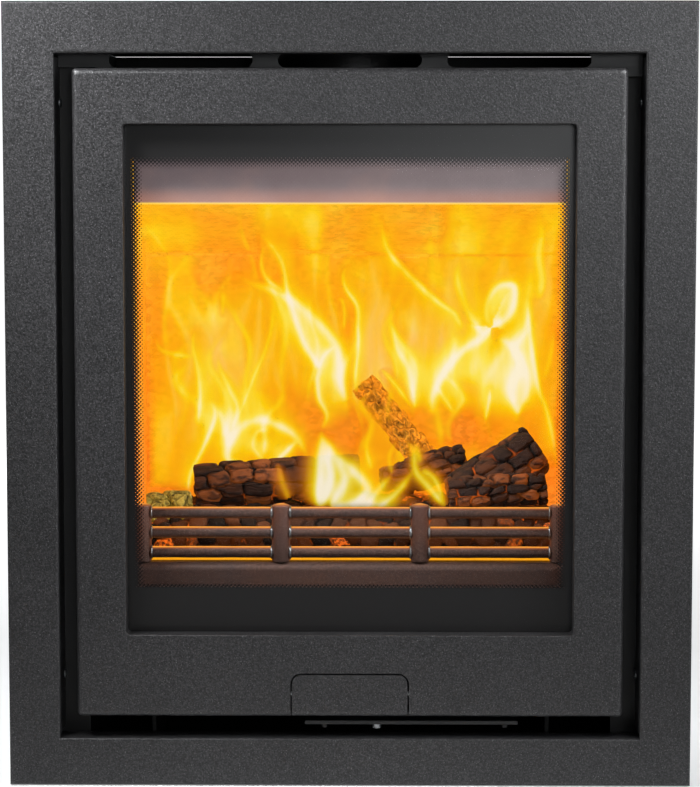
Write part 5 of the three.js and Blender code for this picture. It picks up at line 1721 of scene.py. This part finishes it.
class STOVE_OT_guard(bpy.types.Operator):
    """Make the log guard's posts, rails and welds, and dress its base"""

    bl_idname = "stove.guard"
    bl_label = "Log guard"

    def execute(self, context):
        iron = finish_of("cast_iron")
        dressed("guard_base", iron, roll=0.0007, segments=3)
        for number, post in enumerate(guard_posts(), 1):
            node = f"guard_post_{number}"
            piece_from(
                f"{node}_turned", post, iron, "log_guard", (node,), post_light(post[0]),
            )
        for number, rail in enumerate(guard_rails(), 1):
            node = f"guard_rail_{number}"
            piece_from(
                f"{node}_cast", rail, iron, "log_guard", (node,), firelit(rail[0]),
            )
        steel = finish_of("bolt_steel")
        piece_from("guard_welds", joined(guard_welds()), steel, "log_guard")
        return {"FINISHED"}


class STOVE_OT_fuel(bpy.types.Operator):
    """Make the logs and the bed of coals"""

    bl_idname = "stove.fuel"
    bl_label = "Logs and coals"

    def execute(self, context):
        for node, seed in (("log_left", 3), ("log_right", 8), ("log_end", 5)):
            solid, carried = burnt_log(*node_axis(node), seed)
            slot = SLOT_OF[node]
            piece_from(f"{node}_burnt", solid, finish_of(slot), "root", (node,), carried)
        for name, rows, look in (
            ("kindling_leaning", KINDLING[:1], "split_wood"),
            ("kindling_charred", KINDLING[1:3], "charred_wood"),
            ("kindling_crossed", KINDLING[3:], "charred_wood"),
        ):
            solid, carried = kindling(rows)
            piece_from(name, solid, finish_of(look), "root", attributes=carried)
        solid, carried = ember_surface()
        piece_from("coals", solid, finish_of("ember"), "root", ("ember_bed",), carried)
        return {"FINISHED"}


class STOVE_OT_flames(bpy.types.Operator):
    """Make three sheets of flame, behind, among and in front of the logs"""

    bl_idname = "stove.flames"
    bl_label = "Flames"

    def execute(self, context):
        burning = flame()
        wall = span("brick_rear_lower")[0][1]
        front = span("guard_base")[1][1] + 23 * MM
        sheets = {
            "flames_rear": flame_sheet(
                wall - 17 * MM,
                (*BAFFLE_SEAM, *tongues(30, 4, (70, 190), 0.42)),
                REAR_VEILS, 31, 6.0, most=0.80, body=0.26, gain=1.9,
            ),
            "flames_middle": flame_sheet(
                wall - 37 * MM,
                (*MIDDLE_THREADS, *tongues(16, 9, (50, 120), 0.40)),
                MIDDLE_VEILS, 37, 1.5, most=1.25,
            ),
            "flames_front": flame_sheet(
                front, FRONT_THREADS, FRONT_VEILS, 41, 0.8, most=1.3, glow=1.3,
            ),
        }
        for name, (solid, carried) in sheets.items():
            piece_from(name, solid, burning, "root", attributes=carried)
        return {"FINISHED"}


class STOVE_PT_panel(bpy.types.Panel):
    """Lists the stove's settings and the steps that make it"""

    bl_idname = "STOVE_PT_panel"
    bl_label = "Inset stove"
    bl_space_type = "VIEW_3D"
    bl_region_type = "UI"
    bl_category = "Stove"

    def draw(self, context):
        for operator in OPERATORS:
            self.layout.operator(operator.bl_idname)
        for name, group in GROUPS.items():
            box = self.layout.box()
            for key in group.__annotations__:
                box.prop(getattr(context.scene, name), key)


OPERATORS = (
    STOVE_OT_stage,
    STOVE_OT_metalwork,
    STOVE_OT_hardware,
    STOVE_OT_lining,
    STOVE_OT_guard,
    STOVE_OT_fuel,
    STOVE_OT_flames,
)


def register():
    """Registers the settings, the steps and the panel."""
    for name, group in GROUPS.items():
        bpy.utils.register_class(group)
        setattr(bpy.types.Scene, name, bpy.props.PointerProperty(type=group))
    for item in (*OPERATORS, STOVE_PT_panel):
        bpy.utils.register_class(item)


def unregister():
    """Takes away what register added."""
    for item in (STOVE_PT_panel, *reversed(OPERATORS)):
        bpy.utils.unregister_class(item)
    for name, group in GROUPS.items():
        delattr(bpy.types.Scene, name)
        bpy.utils.unregister_class(group)


def main():
    """Makes the whole stove: registers the settings and runs each step in turn."""
    register()
    for operator in OPERATORS:
        group, name = operator.bl_idname.split(".")
        getattr(getattr(bpy.ops, group), name)()


if __name__ == "__main__":
    main()
